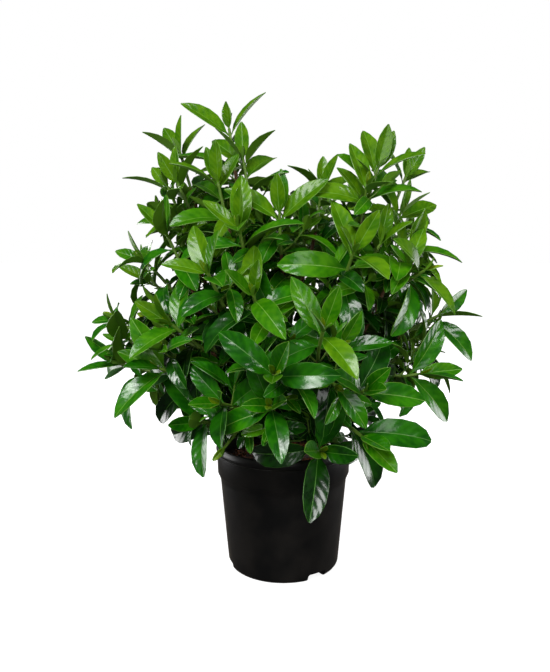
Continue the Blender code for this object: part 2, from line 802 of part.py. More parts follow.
def make_pot(made):
    """The pot: one turned shell with a rolled lip, and the notches cut from its bottom edge."""
    lip = POT_HEIGHT - POT_COLLAR_TOP
    low, high = (POT_COLLAR_TOP + share * lip for share in POT_LIP_SWELL)
    outer = [(0.0, 0.0)] + corner_arc(POT_FOOT_RADIUS, 0.0, POT_CORNER, 3) + [
        (POT_WALL_TOP_RADIUS, POT_WALL_TOP),
        (POT_SHOULDER_RADIUS, POT_SHOULDER_TOP),
        (POT_COLLAR_RADIUS, POT_COLLAR_TOP),
        (POT_LIP_RADIUS, low),
        (POT_LIP_RADIUS, high),
        (POT_LIP_RADIUS - POT_LIP_ROUND, POT_HEIGHT),
        (POT_LIP_BORE + 1.0 * MM, POT_HEIGHT - 0.6 * MM),
        (POT_LIP_BORE, POT_HEIGHT - 5.0 * MM),
        (POT_COLLAR_RADIUS - POT_WALL - POT_LIP_INNER, POT_COLLAR_TOP - 2.0 * MM),
    ]
    pot = revolve("pot", outer + pot_inside(0.0)[::-1], POT_SEGMENTS, made)
    for k, degrees in enumerate(NOTCH_ANGLES):
        angle = math.radians(degrees)
        bpy.ops.mesh.primitive_cube_add(
            size=1.0, rotation=(0.0, 0.0, angle),
            location=(POT_FOOT_RADIUS * math.sin(angle), -POT_FOOT_RADIUS * math.cos(angle), 0.0),
        )
        cutter = bpy.context.object
        cutter.name = f"notch_cutter_{k}"
        cutter.scale = (NOTCH_WIDTH, 2 * NOTCH_DEPTH, 2 * NOTCH_HEIGHT)
        bpy.ops.object.transform_apply(location=False, rotation=False, scale=True)
        cutter.hide_render = True
        cutter.display_type = "WIRE"
        cut = pot.modifiers.new(f"notch_{k}", "BOOLEAN")
        cut.operation = "DIFFERENCE"
        cut.object = cutter
    return pot


def make_soil(made):
    """The soil: a plug that fills the pot, a little higher round the trunk."""
    inside = pot_inside(GAP)
    edge = inside[-1][0]
    return revolve("soil", inside + [
        (edge + 0.2 * MM, SOIL_TOP - SOIL_EDGE),
        (edge - SOIL_RIM, SOIL_TOP - SOIL_SHOULDER),
        (SOIL_MIDDLE, SOIL_TOP),
        (0.0, SOIL_TOP),
    ], POT_SEGMENTS, made)


def fuse(mass, made):
    """Join a mass's twigs and leaves into one closed body."""
    group = bpy.data.collections.new(mass.name)
    bpy.context.scene.collection.children.link(group)
    body = new_object(f"foliage_{mass.name}", mass.twigs[0].shape(), made)
    for number, twig in enumerate(mass.twigs):
        if number:
            new_object(f"twig_{number}", twig.shape(), made, False, group)
        for leaf in twig.leaves:
            new_object("leaf", leaf.solid(), made, False, group)
    union = body.modifiers.new("union", "BOOLEAN")
    union.operation = "UNION"
    union.operand_type = "COLLECTION"
    union.collection = group
    union.solver = "EXACT"
    bpy.context.view_layer.objects.active = body
    bpy.ops.object.modifier_apply(modifier=union.name)
    for thing in list(group.objects):
        bpy.data.objects.remove(thing)
    bpy.data.collections.remove(group)
    keep_largest(body)
    return body


def keep_largest(body):
    """Fill any hollow that fusing sealed, and drop any loose scrap."""
    shell = bmesh.new()
    shell.from_mesh(body.data)
    bmesh.ops.dissolve_limit(shell, angle_limit=math.radians(0.05), verts=shell.verts,
                             edges=shell.edges)
    bmesh.ops.triangulate(shell, faces=shell.faces)
    left, islands = set(shell.faces), []
    while left:
        island, front = set(), [left.pop()]
        while front:
            face = front.pop()
            island.add(face)
            for edge in face.edges:
                for near in edge.link_faces:
                    if near in left:
                        left.discard(near)
                        front.append(near)
        islands.append(island)
    islands.sort(key=len)
    for island in islands[:-1]:
        bmesh.ops.delete(shell, geom=list(island), context="FACES")
    shell.to_mesh(body.data)
    shell.free()


def main():
    """Build the pot, the soil, the limbs and every mass of foliage."""
    for thing in list(bpy.data.objects):
        bpy.data.objects.remove(thing, do_unlink=True)
    make_pot(material("black_plastic", (0.020, 0.017, 0.015), 0.5))
    make_soil(material("bark_mulch", (0.13, 0.06, 0.03), 0.95))
    shrub = Shrub()
    shrub.grow()
    new_object("trunk", shrub.trunk.shape(), material("trunk_bark", (0.11, 0.065, 0.04), 0.9), True)
    for name, limb in shrub.boughs.items():
        bark = material(f"bark_{name}", (0.12, 0.07, 0.045), 0.88)
        new_object(f"bough_{name}", limb.shape(), bark, True)
    draw = random.Random(SEED)
    for mass in shrub.masses:
        green = (draw.uniform(0.05, 0.10), draw.uniform(0.16, 0.26), draw.uniform(0.03, 0.06))
        fuse(mass, material(f"green_{mass.name}", green, 0.4))
    leaves = sum(len(twig.leaves) for mass in shrub.masses for twig in mass.twigs)
    print(leaves, "leaves on", len(shrub.masses), "masses")


main()
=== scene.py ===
"""Looks of the potted laurustinus: an evergreen shrub in its round black nursery pot.

Metres, +Z up, the front is -Y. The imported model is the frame. The shrub grows again here by the
rule of the part's source, so that every leaf lies on its solid, and is then carried to finer
sprigs, inner leaves and buds.
"""

import logging
import math
import random
from dataclasses import dataclass, field
from enum import Enum

import bpy
from mathutils import Matrix, Vector
from mathutils.bvhtree import BVHTree

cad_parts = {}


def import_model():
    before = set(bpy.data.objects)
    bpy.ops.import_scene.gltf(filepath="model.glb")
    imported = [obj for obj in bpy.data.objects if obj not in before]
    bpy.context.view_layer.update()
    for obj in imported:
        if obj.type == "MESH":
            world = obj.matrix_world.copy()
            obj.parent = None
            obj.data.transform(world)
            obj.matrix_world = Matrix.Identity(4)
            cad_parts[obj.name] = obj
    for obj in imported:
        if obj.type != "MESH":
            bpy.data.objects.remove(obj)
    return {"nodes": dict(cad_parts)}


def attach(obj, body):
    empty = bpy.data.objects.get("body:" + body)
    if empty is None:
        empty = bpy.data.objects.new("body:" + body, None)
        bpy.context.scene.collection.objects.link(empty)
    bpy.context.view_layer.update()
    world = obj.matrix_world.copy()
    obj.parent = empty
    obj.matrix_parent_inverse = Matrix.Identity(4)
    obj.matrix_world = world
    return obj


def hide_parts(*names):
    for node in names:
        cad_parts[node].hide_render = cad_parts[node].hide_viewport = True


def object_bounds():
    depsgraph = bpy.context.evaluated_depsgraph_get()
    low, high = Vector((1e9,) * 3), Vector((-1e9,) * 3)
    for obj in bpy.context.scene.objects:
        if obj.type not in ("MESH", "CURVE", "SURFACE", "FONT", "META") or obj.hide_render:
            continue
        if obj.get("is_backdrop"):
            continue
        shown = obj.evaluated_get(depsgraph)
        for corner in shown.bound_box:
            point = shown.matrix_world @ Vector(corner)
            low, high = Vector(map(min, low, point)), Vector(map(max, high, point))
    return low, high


logging.basicConfig(level=logging.INFO, format="%(message)s")
LOG = logging.getLogger("laurustinus")

MM = 0.001
GAP = 0.3 * MM
UP = Vector((0.0, 0.0, 1.0))
FRONT = Vector((0.0, -1.0, 0.0))
BODY = "root"
WHITE = (1.0, 1.0, 1.0, 1.0)

# The pot and soil, as in the part's source
POT_HEIGHT = 170 * MM
POT_FOOT_RADIUS = 77.4 * MM
POT_WALL_TOP_RADIUS = 88.7 * MM
POT_WALL_TOP = 122.7 * MM
POT_SHOULDER_RADIUS = 92.5 * MM
POT_SHOULDER_TOP = 131 * MM
POT_COLLAR_RADIUS = 93.8 * MM
POT_COLLAR_TOP = 157.5 * MM
POT_LIP_RADIUS = 95 * MM
POT_LIP_BORE = 88 * MM
SOIL_TOP = 150 * MM

# The trunk, as in the part's source
TRUNK_TOP = 214 * MM
TRUNK_FLARE_RADIUS = 13.5 * MM
TRUNK_RADIUS = 9.5 * MM
TRUNK_TIP_RADIUS = 8.5 * MM
TRUNK_LEAN = 4 * MM
TRUNK_SIDES = 10
FLARE_HEIGHTS = (7 * MM, 20 * MM)

# Boughs
BOUGH_START_RADIUS = 5.4 * MM
BOUGH_TIP_RADIUS = 3.3 * MM
BOUGH_SIDES = 6
BOUGH_POINTS = 6
BOUGH_CLEAR = 1.5 * MM
BOUGH_OUT, BOUGH_UP, BOUGH_ARRIVE_UP = 0.8, 0.62, 0.35
BOUGH_TRIES, BOUGH_STRAY = 60, 0.9

# Each bough: name, height where it leaves the trunk (mm), share of the way to the middle of
# its foliage that it reaches
BOUGHS = (
    ("centre_top", 214, 0.56),
    ("top_left", 205, 0.60),
    ("left_upper", 190, 0.56),
    ("left_low", 174, 0.56),
    ("front_left", 200, 0.52),
    ("front", 176, 0.50),
    ("front_right", 188, 0.50),
    ("right_upper", 204, 0.56),
    ("right_side", 178, 0.56),
    ("back_right", 186, 0.56),
    ("back_left", 182, 0.56),
    ("back_top", 208, 0.60),
)

# Foliage that shows from the front: name, bough, across, depth and height of the leading
# shoot's tip (mm), length of a full leaf (mm), turn of its leaf pairs (degrees), side shoots
FRONT_FOLIAGE = (
    ("spire", "top_left", -75, -10, 609, 97, 15, 0),
    ("crest_left", "top_left", -145, 10, 577, 82, 60, 1),
    ("right_spire", "right_upper", 125, -50, 549, 88, 170, 1),
    ("right_back", "right_upper", 174, 20, 545, 82, 30, 0),
    ("saddle", "centre_top", 52, -30, 524, 78, 70, 1),
    ("spire_right", "top_left", -54, -40, 563, 84, 150, 0),
    ("arch_left", "top_left", -85, -70, 530, 84, 0, 0),
    ("shoulder_left", "left_upper", -158, -20, 528, 70, 30, 1),
    ("right_upper", "right_upper", 162, -10, 492, 80, 45, 1),
    ("upper_mid", "centre_top", -5, -90, 488, 86, 80, 0),
    ("upper_front", "centre_top", -55, -120, 470, 82, 30, 1),
    ("right_bright", "right_upper", 85, -140, 440, 90, 10, 0),
    ("right_mid", "right_side", 125, -80, 450, 84, 60, 0),
    ("right_arch", "right_side", 166, -60, 448, 92, 0, 1),
    ("left_upper", "left_upper", -155, -60, 465, 80, 75, 0),
    ("left_far", "left_upper", -190, -30, 428, 74, 60, 0),
    ("left_bright", "front_left", -90, -150, 415, 86, 50, 0),
    ("mid_front", "front_left", -35, -170, 390, 84, 35, 1),
    ("left_mid", "front_left", -138, -120, 350, 82, 20, 1),
    ("right_centre", "front_right", 45, -190, 350, 88, 30, 0),
    ("right_low_mid", "front_right", 70, -135, 325, 80, 70, 1),
    ("centre", "front", -10, -210, 305, 98, 70, 0),
    ("right_side", "right_side", 209, -40, 353, 98, 10, 1),
    ("right_low_side", "right_side", 176, -70, 279, 98, 0, 1),
    ("left_side", "left_low", -216, -55, 290, 98, 130, 1),
    ("left_upright", "left_low", -232, -15, 345, 60, 80, 0),
    ("left_low", "left_low", -151, -135, 298, 88, 0, 1),
    ("left_hang", "left_low", -101, -120, 228, 84, 20, 0),
    ("right_front", "front_right", 95, -170, 278, 86, 60, 0),
    ("low_right", "front_right", 92, -170, 224, 101, 115, 0),
    ("pot_front", "front_right", 44, -160, 203, 98, 350, 0),
    ("low_centre", "front", -15, -180, 262, 80, 20, 0),
    ("hang_bright", "front", -75, -150, 258, 78, 30, 1),
)

# Foliage behind: shoots spread by the golden angle over the rest of the crown's outline
BACK_FOLIAGE = 12
BACK_SIDE_SHOOTS = 2
BACK_FROM, BACK_TO = 78.0, 282.0
BACK_LOW, BACK_HIGH = 225 * MM, 545 * MM
BACK_LEAF = 84 * MM
CROWN_RADIUS = 195 * MM
CROWN_MIDDLE = 340 * MM
CROWN_HALF_HEIGHT = 290 * MM
CROWN_CORE = Vector((0.0, 0.0, 300 * MM))
GOLDEN, GOLDEN_START = 0.6180339887, 0.2
BACK_TOP_MASSES = 3
BACK_ROLL = 1.9
BACK_LEAST = 0.05

# The seed of all small differences, and what each part of the growth makes of it, so that
# no two parts draw the same
SEED = 20
STEM_SEED, SIDE_SEED, FINE_SEED, SHADE_SEED = SEED * 7, SEED * 13, SEED * 997, SEED * 31
LEAF_SEED, MASS_STRIDE, TWIG_STRIDE, PAIR_STRIDE = SEED * 101, 613, 37, 5

# Twigs: stems and side shoots, how they leave and arrive, and how far a stem may stray
# where it would touch something
STEM_RADIUS = 2.6 * MM
SHOOT_RADIUS = 2.1 * MM
STEM_POINTS = 5
SIDE_POINTS = 3
SIDE_SHOOT_LENGTH = 78 * MM
STEM_SPACING = 8.5 * MM
STEM_SQUARE, STEM_AHEAD = 0.9, 0.45
STEM_TRIES, STEM_STRAYS = 80, (0.25, 1.2, 0.9)
STEM_FIRST, STEM_FOOT_CLEAR = 0.4, 0.1 * MM
SIDE_TRIES, SIDE_FROM, SIDE_TO = 24, 0.36, 0.72
SIDE_LEAVE = (1.0, 0.55, 0.25)
SIDE_ARRIVE = (0.7, 0.6, 0.35)
SIDE_LENGTHS, SIDE_LEAVES = (0.75, 1.2), (0.80, 1.0)
SIDE_SWELL, SIDE_TAPER, SIDE_FOOT_CLEAR = 1.1, 0.1, 0.8 * MM
TWIG_CLEAR = 1.3 * MM
STEM_PAIRS = (0, 1, 2, 3)
SIDE_PAIRS = (1, 2)

# How steeply a leading shoot turns up: the usual rise, and the rise of shoots that differ.
# The old leaves of these may hang beside the pot, down to the lower of the two heights
SHOOT_RISE = 0.5
OWN_RISE = {
    "pot_front": 0.85, "low_right": 0.0, "left_hang": 0.9, "left_low": 0.3, "right_side": 0.1,
    "left_far": 0.15,
}
LOWEST_LEAF = 200 * MM
HANGING_LEAF = 128 * MM

# Leaf pairs, counted down from a shoot's tip: distance from the tip (mm on a shoot whose full
# leaf is 80 mm), share of the full length, angle to the shoot and arch of the blade (degrees);
# the spire ends in a bud whose pair is still short
PAIR_STEPS = (2.0, 9.0, 25.0, 50.0)
PAIR_SIZES = (0.66, 0.92, 1.0, 0.94)
PAIR_SPREADS = (18.0, 46.0, 63.0, 72.0)
PAIR_BENDS = (24.0, 56.0, 78.0, 84.0)
PAIR_DRIFTS = (0.16, 7.0, 10.0)
SPIRE_BUD = 0.62
LEAF_TWIST = 0.28
FULL_LEAF = 80 * MM
LEAF_SIZES = (0.9, 1.08)
BEND_LEVEL, BEND_UPRIGHT = 1.15, 0.4

# A leaf's solid: half width and thickness as shares of its length, fold as a share of its half
# width, sections (share of the length, share of the half width), and the petiole
LEAF_SLENDERNESS = 0.168
LEAF_FOLD = 0.13
LEAF_THICKNESS, LEAF_LEAST_DEPTH = 0.013, 0.9 * MM
LEAF_CUTS = ((0.36, 0.93), (0.70, 0.90))
SIMPLE_CUTS = ((0.48, 1.0),)
SIMPLE_PAIRS = (0, 3)
PETIOLE_RADIUS = 0.6 * MM
PETIOLE_DEPTH = 0.75 * MM

# Room for leaves: how far a root stands off the twig's middle, the gap kept clear, the tries
# and after how many a leaf shrinks, a twig's bare foot, and the share of a blade from which it
# keeps clear of its own mass
ROOT_OFFSET = 0.3 * MM
LEAF_CLEAR = 0.5 * MM
LEAF_TRIES = 9
SHRINK_AFTER, SHRINK = 4, 0.8
BARE_FOOT, BLADE_FROM = 12 * MM, 0.16

# What draws a leaf's upper face besides the way on: the sky, the crown's outside, the front
LIGHT_ABOVE, LIGHT_ROUND, LIGHT_FRONT = 0.5, 0.45, 0.45

# Young growth at the top spreads and arches less: where it starts, over what height it takes
# full hold, and the shares that it takes off the spread and the arch
YOUNG_FROM, YOUNG_RANGE = 430 * MM, 150 * MM
YOUNG_SPREAD, YOUNG_BEND = 0.26, 0.30

# How limbs run: ease at both ends as a share of the way, and the search for a seat on a limb
EASE = 0.36
SEAT_REACH, SEAT_STEPS, SEAT_NEAR, SEAT_STRIDE = 40 * MM, 60, 0.004 * MM, 0.9
SEAT_SPOTS, SEAT_RINGS = 12, (0.5, 1.0)
POT_CLEAR, POT_CLEAR_ABOVE, POT_CLEAR_SIDES = 3 * MM, 2 * MM, 24

# A direction with a level part shorter than the first counts as upright, and a bend under
# the second, in radians, as none
UPRIGHT, STRAIGHT = 0.05, 1e-4

Shape = tuple[list[Vector], list[tuple[int, ...]]]
Tree = bpy.types.NodeTree
Socket = bpy.types.NodeSocket


@dataclass
class Leaf:
    """One leaf: a blade that arches back from its petiole and folds up along its midrib."""

    root: Vector
    along: Vector
    normal: Vector
    length: float
    bend: float
    pair: int = 2

    def place(self, share: float) -> tuple[Vector, Vector, Vector]:
        """Centre, side and normal of the blade.

        Args:
            share: how far along the blade, from 0 at its root to 1 at its tip.

        Returns:
            The midrib's point there, the direction across the blade, and its upper face's normal.
        """
        angle = self.bend * share
        curl = self.bend if abs(self.bend) > STRAIGHT else STRAIGHT
        centre = self.root + self.length * (
            self.along * (math.sin(curl * share) / curl)
            - self.normal * ((1 - math.cos(curl * share)) / curl)
        )
        normal = self.normal * math.cos(angle) + self.along * math.sin(angle)
        return centre, self.along.cross(self.normal), normal

    def solid(self, clear: float = 0.0, start: float = 0.0) -> Shape:
        """A closed blade of few faces: a keeled section at each cut, then the tip.

        Args:
            clear: how much larger than the leaf the shape is, all round. Its sections then have
                five corners, so that the leaf's own edges lie inside.
            start: the share of the length where the shape begins.

        Returns:
            Corners and faces.
        """
        half = self.length * LEAF_SLENDERNESS
        depth = max(self.length * LEAF_THICKNESS, LEAF_LEAST_DEPTH)
        shape = SIMPLE_CUTS if self.pair in SIMPLE_PAIRS else LEAF_CUTS
        base = PETIOLE_RADIUS + (shape[0][1] * half - PETIOLE_RADIUS) * start / shape[0][0]
        cuts = [(start, base)] + [(share, width * half) for share, width in shape]
        corners: list[Vector] = []
        for share, width in cuts:
            centre, side, normal = self.place(share)
            thick = PETIOLE_DEPTH if share == 0.0 else depth
            lift, over, out = normal * LEAF_FOLD * width, normal * clear, side * (width + clear)
            ring = [centre + out + lift + over, centre - out + lift + over]
            ring += [centre - out + lift - over] if clear else []
            ring += [centre - normal * thick - over]
            ring += [centre + out + lift - over] if clear else []
            corners += ring
        size = len(ring)
        centre, side, normal = self.place(1.0)
        corners.append(centre + normal.cross(side) * clear)
        faces = [tuple(range(size))]
        last, tip = size * (len(cuts) - 1), size * len(cuts)
        for low in range(0, last, size):
            for k in range(size):
                here, there = low + k, low + (k + 1) % size
                faces.append((here, here + size, there + size))
                faces.append((here, there + size, there))
        for k in range(size):
            faces.append((last + k, tip, last + (k + 1) % size))
        return corners, faces


@dataclass
class Twig:
    """A twig with its leaves: the stem of a mass, or one of its side shoots."""

    path: list[Vector]
    radii: list[float]
    leave: Vector
    pairs: tuple[int, ...] = ()
    leaf_length: float = 0.0
    roll: float = 0.0
    leaves: list[Leaf] = field(default_factory=list)

    def shape(self) -> Shape:
        """Corners and faces of the three-sided twig."""
        return tube(self.path, self.radii, 3, self.leave)

    def length(self) -> float:
        """Length of the twig along its path."""
        return sum((b - a).length for a, b in zip(self.path, self.path[1:]))

    def point(self, from_tip: float) -> tuple[Vector, Vector]:
        """Place and direction on the twig.

        Args:
            from_tip: distance back from the twig's tip.

        Returns:
            The point there and the direction towards the tip.
        """
        left = from_tip
        for near, far in zip(self.path[::-1], self.path[-2::-1]):
            step = (near - far).length
            if left <= step:
                return near.lerp(far, left / step), (near - far).normalized()
            left -= step
        return self.path[0], (self.path[1] - self.path[0]).normalized()

    def room(self, clear: float) -> Shape:
        """The space that the twig takes up beyond its first stretch, widened by a clear gap."""
        radii = [radius + clear for radius in self.radii[1:]]
        return tube(self.path[1:], radii, 3, self.point(0.0)[1])

    def foot(self, clear: float) -> Shape:
        """The space that the twig's first stretch takes up, widened by a clear gap."""
        radii = [radius + clear for radius in self.radii[:2]]
        return tube(self.path[:2], radii, 3, self.leave)


@dataclass
class Mass:
    """One mass of foliage: a stem that meets its bough's tip, and what branches from it."""

    name: str
    bough: str
    tip: Vector
    leaf_length: float
    roll: float
    side_shoots: int
    twigs: list[Twig] = field(default_factory=list)


@dataclass
class Limb:
    """The trunk or a bough: one tapering limb along a path."""

    path: list[Vector]
    radii: list[float]
    sides: int
    leave: Vector

    def shape(self) -> Shape:
        """Corners and faces of the limb."""
        return tube(self.path, self.radii, self.sides, self.leave)


def square_to(direction: Vector, towards: Vector) -> Vector:
    """The direction square to a first one that comes nearest to a second one."""
    return (towards - direction * towards.dot(direction)).normalized()


def across(direction: Vector) -> Vector:
    """A level direction square to another.

    Args:
        direction: the other direction.

    Returns:
        The level one.
    """
    level = UP.cross(direction)
    if level.length < UPRIGHT:
        level = Vector((1.0, 0.0, 0.0))
    return square_to(direction, level)


def turned(ahead: Vector, turn: float) -> Vector:
    """A direction square to the one ahead, turned about it from the level."""
    side = across(ahead)
    return side * math.cos(turn) + ahead.cross(side) * math.sin(turn)


def opened(ahead: Vector, out: Vector, spread: float) -> Vector:
    """The direction that stands off from the one ahead, outwards, by an angle."""
    return (ahead * math.cos(spread) + out * math.sin(spread)).normalized()


def pair_turn(twig: Twig, age: int, which: int) -> float:
    """A leaf's turn about its twig: opposite in a pair, and each pair square to the last."""
    return twig.roll + math.pi * which + math.pi / 2 * age


def crown_light(root: Vector, ahead: Vector) -> Vector:
    """What a leaf's upper face turns to: the way on, the sky and the crown's outside."""
    outside = Vector((root.x, root.y, 0.0)) / CROWN_RADIUS
    return ahead + LIGHT_ABOVE * UP + LIGHT_ROUND * outside


def taper(first: float, last: float, count: int) -> list[float]:
    """Radii that go evenly from the first to the last."""
    return [first + (last - first) * k / (count - 1) for k in range(count)]


def shell(start: int, rings: int, size: int) -> list[tuple[int, ...]]:
    """Faces of a closed shell: its sides from ring to ring, then a cap at each end.

    Args:
        start: the place of its first corner in the list of corners.
        rings: how many rings of corners it has.
        size: how many corners each ring has.

    Returns:
        The faces.
    """
    faces = []
    for ring in range(rings - 1):
        for k in range(size):
            here, after = start + ring * size + k, start + ring * size + (k + 1) % size
            faces.append((here, after, after + size, here + size))
    last = start + (rings - 1) * size
    faces.append(tuple(range(start, start + size))[::-1])
    faces.append(tuple(range(last, last + size)))
    return faces


def tube(path: list[Vector], radii: list[float], sides: int, leave: Vector) -> Shape:
    """A closed tapering tube.

    Args:
        path: the points that its centre follows.
        radii: its radius at each point.
        sides: how many sides it has.
        leave: the direction that its flat start faces away from.

    Returns:
        Corners and faces.
    """
    corners, side = [], None
    for index, (centre, radius) in enumerate(zip(path, radii)):
        ahead = (path[min(index + 1, len(path) - 1)] - path[max(index - 1, 0)]).normalized()
        if index == 0:
            ahead = leave
        side = across(ahead) if side is None else square_to(ahead, side)
        other = ahead.cross(side)
        for k in range(sides):
            turn = math.tau * k / sides
            corners.append(centre + radius * (side * math.cos(turn) + other * math.sin(turn)))
    return corners, shell(0, len(path), sides)


def swing(start: Vector, leave: Vector, end: Vector, arrive: Vector, count: int) -> list[Vector]:
    """Points along a smooth limb that leaves and arrives in given directions.

    Args:
        start: where the limb starts.
        leave: its direction there.
        end: where the limb ends.
        arrive: its direction there.
        count: how many points to give.

    Returns:
        The points, from start to end.
    """
    reach = EASE * (end - start).length
    first, second = start + leave * reach, end - arrive * reach
    points = []
    for k in range(count):
        t = k / (count - 1)
        s = 1 - t
        points.append(
            start * s**3 + first * (3 * s * s * t) + second * (3 * s * t * t) + end * t**3
        )
    return points


def tree_of(shape: Shape) -> BVHTree:
    """Search tree of a shape, for finding what it touches."""
    return BVHTree.FromPolygons(shape[0], shape[1])


def seat(point: Vector, heading: Vector, radius: float, tree: BVHTree) -> Vector:
    """Slide a limb's flat end along its heading until it is one gap clear of what carries it.

    Args:
        point: a place on the heading's line, inside what carries the limb.
        heading: the direction that the limb leaves in.
        radius: the radius of its flat end.
        tree: search tree of what carries it.

    Returns:
        The middle of the flat end.
    """
    spots = [Vector()] + [
        turned(heading, math.tau * k / SEAT_SPOTS) * (radius * ring)
        for ring in SEAT_RINGS
        for k in range(SEAT_SPOTS)
    ]
    point = point + heading * SEAT_REACH
    for _ in range(SEAT_STEPS):
        near = min(tree.find_nearest(point + spot)[3] for spot in spots) - GAP
        if near < SEAT_NEAR:
            break
        point = point - heading * near * SEAT_STRIDE
    return point


def bounds(points: list[Vector]) -> tuple[list[float], list[float]]:
    """Lowest and highest corner of some points.

    Args:
        points: the points.

    Returns:
        The two corners.
    """
    return (
        [min(point[axis] for point in points) for axis in range(3)],
        [max(point[axis] for point in points) for axis in range(3)],
    )


class Space:
    """What stands in the crown already, each with its owner, so that nothing new touches it."""

    def __init__(self) -> None:
        """Start with an empty crown."""
        self.bodies: list[tuple] = []

    def add(self, shape: Shape, owner: str) -> None:
        """Take an owner's shape into the crown."""
        self.bodies.append((owner, bounds(shape[0]), tree_of(shape)))

    def free(self, shape: Shape, skip: str = "", only: str = "") -> bool:
        """Whether a shape touches nothing.

        Args:
            shape: corners and faces of the new shape.
            skip: an owner whose shapes don't count.
            only: the one owner whose shapes count, or none to count them all.

        Returns:
            True if it is clear of them.
        """
        low, high = bounds(shape[0])
        own = tree_of(shape)
        for owner, (floor, roof), tree in self.bodies:
            if owner == skip or (only and owner != only):
                continue
            if all(low[k] <= roof[k] and floor[k] <= high[k] for k in range(3)):
                if own.overlap(tree):
                    return False
        return True


class Shrub:
    """The growing plant: trunk, boughs and masses of foliage, all from the named sizes."""

    def __init__(self) -> None:
        """Plan the masses, and keep the pot's own space free."""
        self.space = Space()
        self.masses = self.plan_masses()
        self.trunk = self.plan_trunk()
        self.boughs: dict[str, Limb] = {}
        heights = (0.0, POT_WALL_TOP, POT_SHOULDER_TOP, POT_HEIGHT + POT_CLEAR_ABOVE)
        widths = (POT_FOOT_RADIUS, POT_WALL_TOP_RADIUS, POT_SHOULDER_RADIUS, POT_LIP_RADIUS)
        around = [width + POT_CLEAR for width in widths]
        pot = tube([Vector((0, 0, z)) for z in heights], around, POT_CLEAR_SIDES, UP)
        self.space.add(pot, "pot")

    def grow(self) -> None:
        """Grow the limbs, then the twigs, then the leaves."""
        self.grow_boughs()
        self.grow_stems()
        self.grow_side_shoots()
        self.grow_leaves()

    def plan_masses(self) -> list[Mass]:
        """Every mass of foliage: those read from the front, then those behind by rule.

        Returns:
            The masses, without their growth.
        """
        masses = [
            Mass(name, bough, Vector((x, y, z)) * MM, leaf * MM, math.radians(roll), sides)
            for name, bough, x, y, z, leaf, roll, sides in FRONT_FOLIAGE
        ]
        for k in range(BACK_FOLIAGE):
            height = BACK_LOW + (BACK_HIGH - BACK_LOW) * (k + 0.5) / BACK_FOLIAGE
            azimuth = BACK_FROM + (BACK_TO - BACK_FROM) * ((k * GOLDEN + GOLDEN_START) % 1.0)
            rise = (height - CROWN_MIDDLE) / CROWN_HALF_HEIGHT
            reach = CROWN_RADIUS * math.sqrt(max(BACK_LEAST, 1 - rise * rise))
            turn = math.radians(azimuth)
            tip = Vector((reach * math.sin(turn), -reach * math.cos(turn), height))
            bough = "back_right" if azimuth < 180 else "back_left"
            if k >= BACK_FOLIAGE - BACK_TOP_MASSES:
                bough = "back_top"
            masses.append(
                Mass(f"behind_{k + 1}", bough, tip, BACK_LEAF, BACK_ROLL * k, BACK_SIDE_SHOOTS)
            )
        return masses

    def plan_trunk(self) -> Limb:
        """The short trunk: flared at the soil, leaning a little, cut flat at both ends.

        Returns:
            The trunk.
        """
        base = SOIL_TOP + GAP
        flare = base + FLARE_HEIGHTS[0]
        heights = (base, flare, base + FLARE_HEIGHTS[1], TRUNK_TOP)
        middle = 0.5 * (TRUNK_FLARE_RADIUS + TRUNK_RADIUS)
        radii = [TRUNK_FLARE_RADIUS, middle, TRUNK_RADIUS, TRUNK_TIP_RADIUS]
        lean = [max(0.0, z - flare) / (TRUNK_TOP - flare) for z in heights]
        path = [Vector((TRUNK_LEAN * share, 0.0, z)) for share, z in zip(lean, heights)]
        return Limb(path, radii, TRUNK_SIDES, UP)

    def grow_boughs(self) -> None:
        """The boughs: each one tapering limb from the trunk to the middle of its foliage."""
        trunk_tree = tree_of(self.trunk.shape())
        self.space.add(self.trunk.shape(), "trunk")
        fork = self.trunk.path[-1]
        for order, (name, leave_height, share) in enumerate(BOUGHS):
            tips = [mass.tip for mass in self.masses if mass.bough == name]
            tip = fork + (sum(tips, Vector()) / len(tips) - fork) * share
            out = Vector((tip.x - fork.x, tip.y - fork.y, 0.0)).normalized()
            arrive = ((tip - fork).normalized() + BOUGH_ARRIVE_UP * UP).normalized()
            draw = random.Random(SEED + order)
            for attempt in range(BOUGH_TRIES):
                leave, start = UP.copy(), fork.copy()
                if leave_height * MM < TRUNK_TOP:
                    stray = draw.uniform(-BOUGH_STRAY, BOUGH_STRAY) * attempt / BOUGH_TRIES
                    astray = Matrix.Rotation(stray, 3, "Z") @ out
                    leave = (astray * BOUGH_OUT + UP * BOUGH_UP).normalized()
                    start = Vector((fork.x * 0.5, 0.0, leave_height * MM))
                start = seat(start, leave, BOUGH_START_RADIUS, trunk_tree)
                path = swing(start, leave, tip, arrive, BOUGH_POINTS)
                radii = taper(BOUGH_START_RADIUS, BOUGH_TIP_RADIUS, BOUGH_POINTS)
                limb = Limb(path, radii, BOUGH_SIDES, leave)
                wide = tube(path, [r + BOUGH_CLEAR for r in radii], BOUGH_SIDES, leave)
                if self.space.free(wide, skip="trunk") and self.space.free(limb.shape()):
                    break
            self.boughs[name] = limb
            self.space.add(limb.shape(), f"bough_{name}")

    def grow_stems(self) -> None:
        """The stem of each mass, from its bough's tip to its leading shoot's tip."""
        for name, limb in self.boughs.items():
            tree = tree_of(limb.shape())
            guide = Twig(limb.path, limb.radii, limb.leave)
            group = [mass for mass in self.masses if mass.bough == name]
            end, ahead = guide.point(0.0)
            group.sort(key=lambda mass: -(mass.tip - end).normalized().dot(ahead))
            for order, mass in enumerate(group):
                back = 0.0 if order == 0 else STEM_SPACING * (order - STEM_FIRST)
                stem = self.find_stem(mass, order, guide.point(back), tree)
                mass.twigs.append(stem)
                self.space.add(stem.shape(), mass.name)

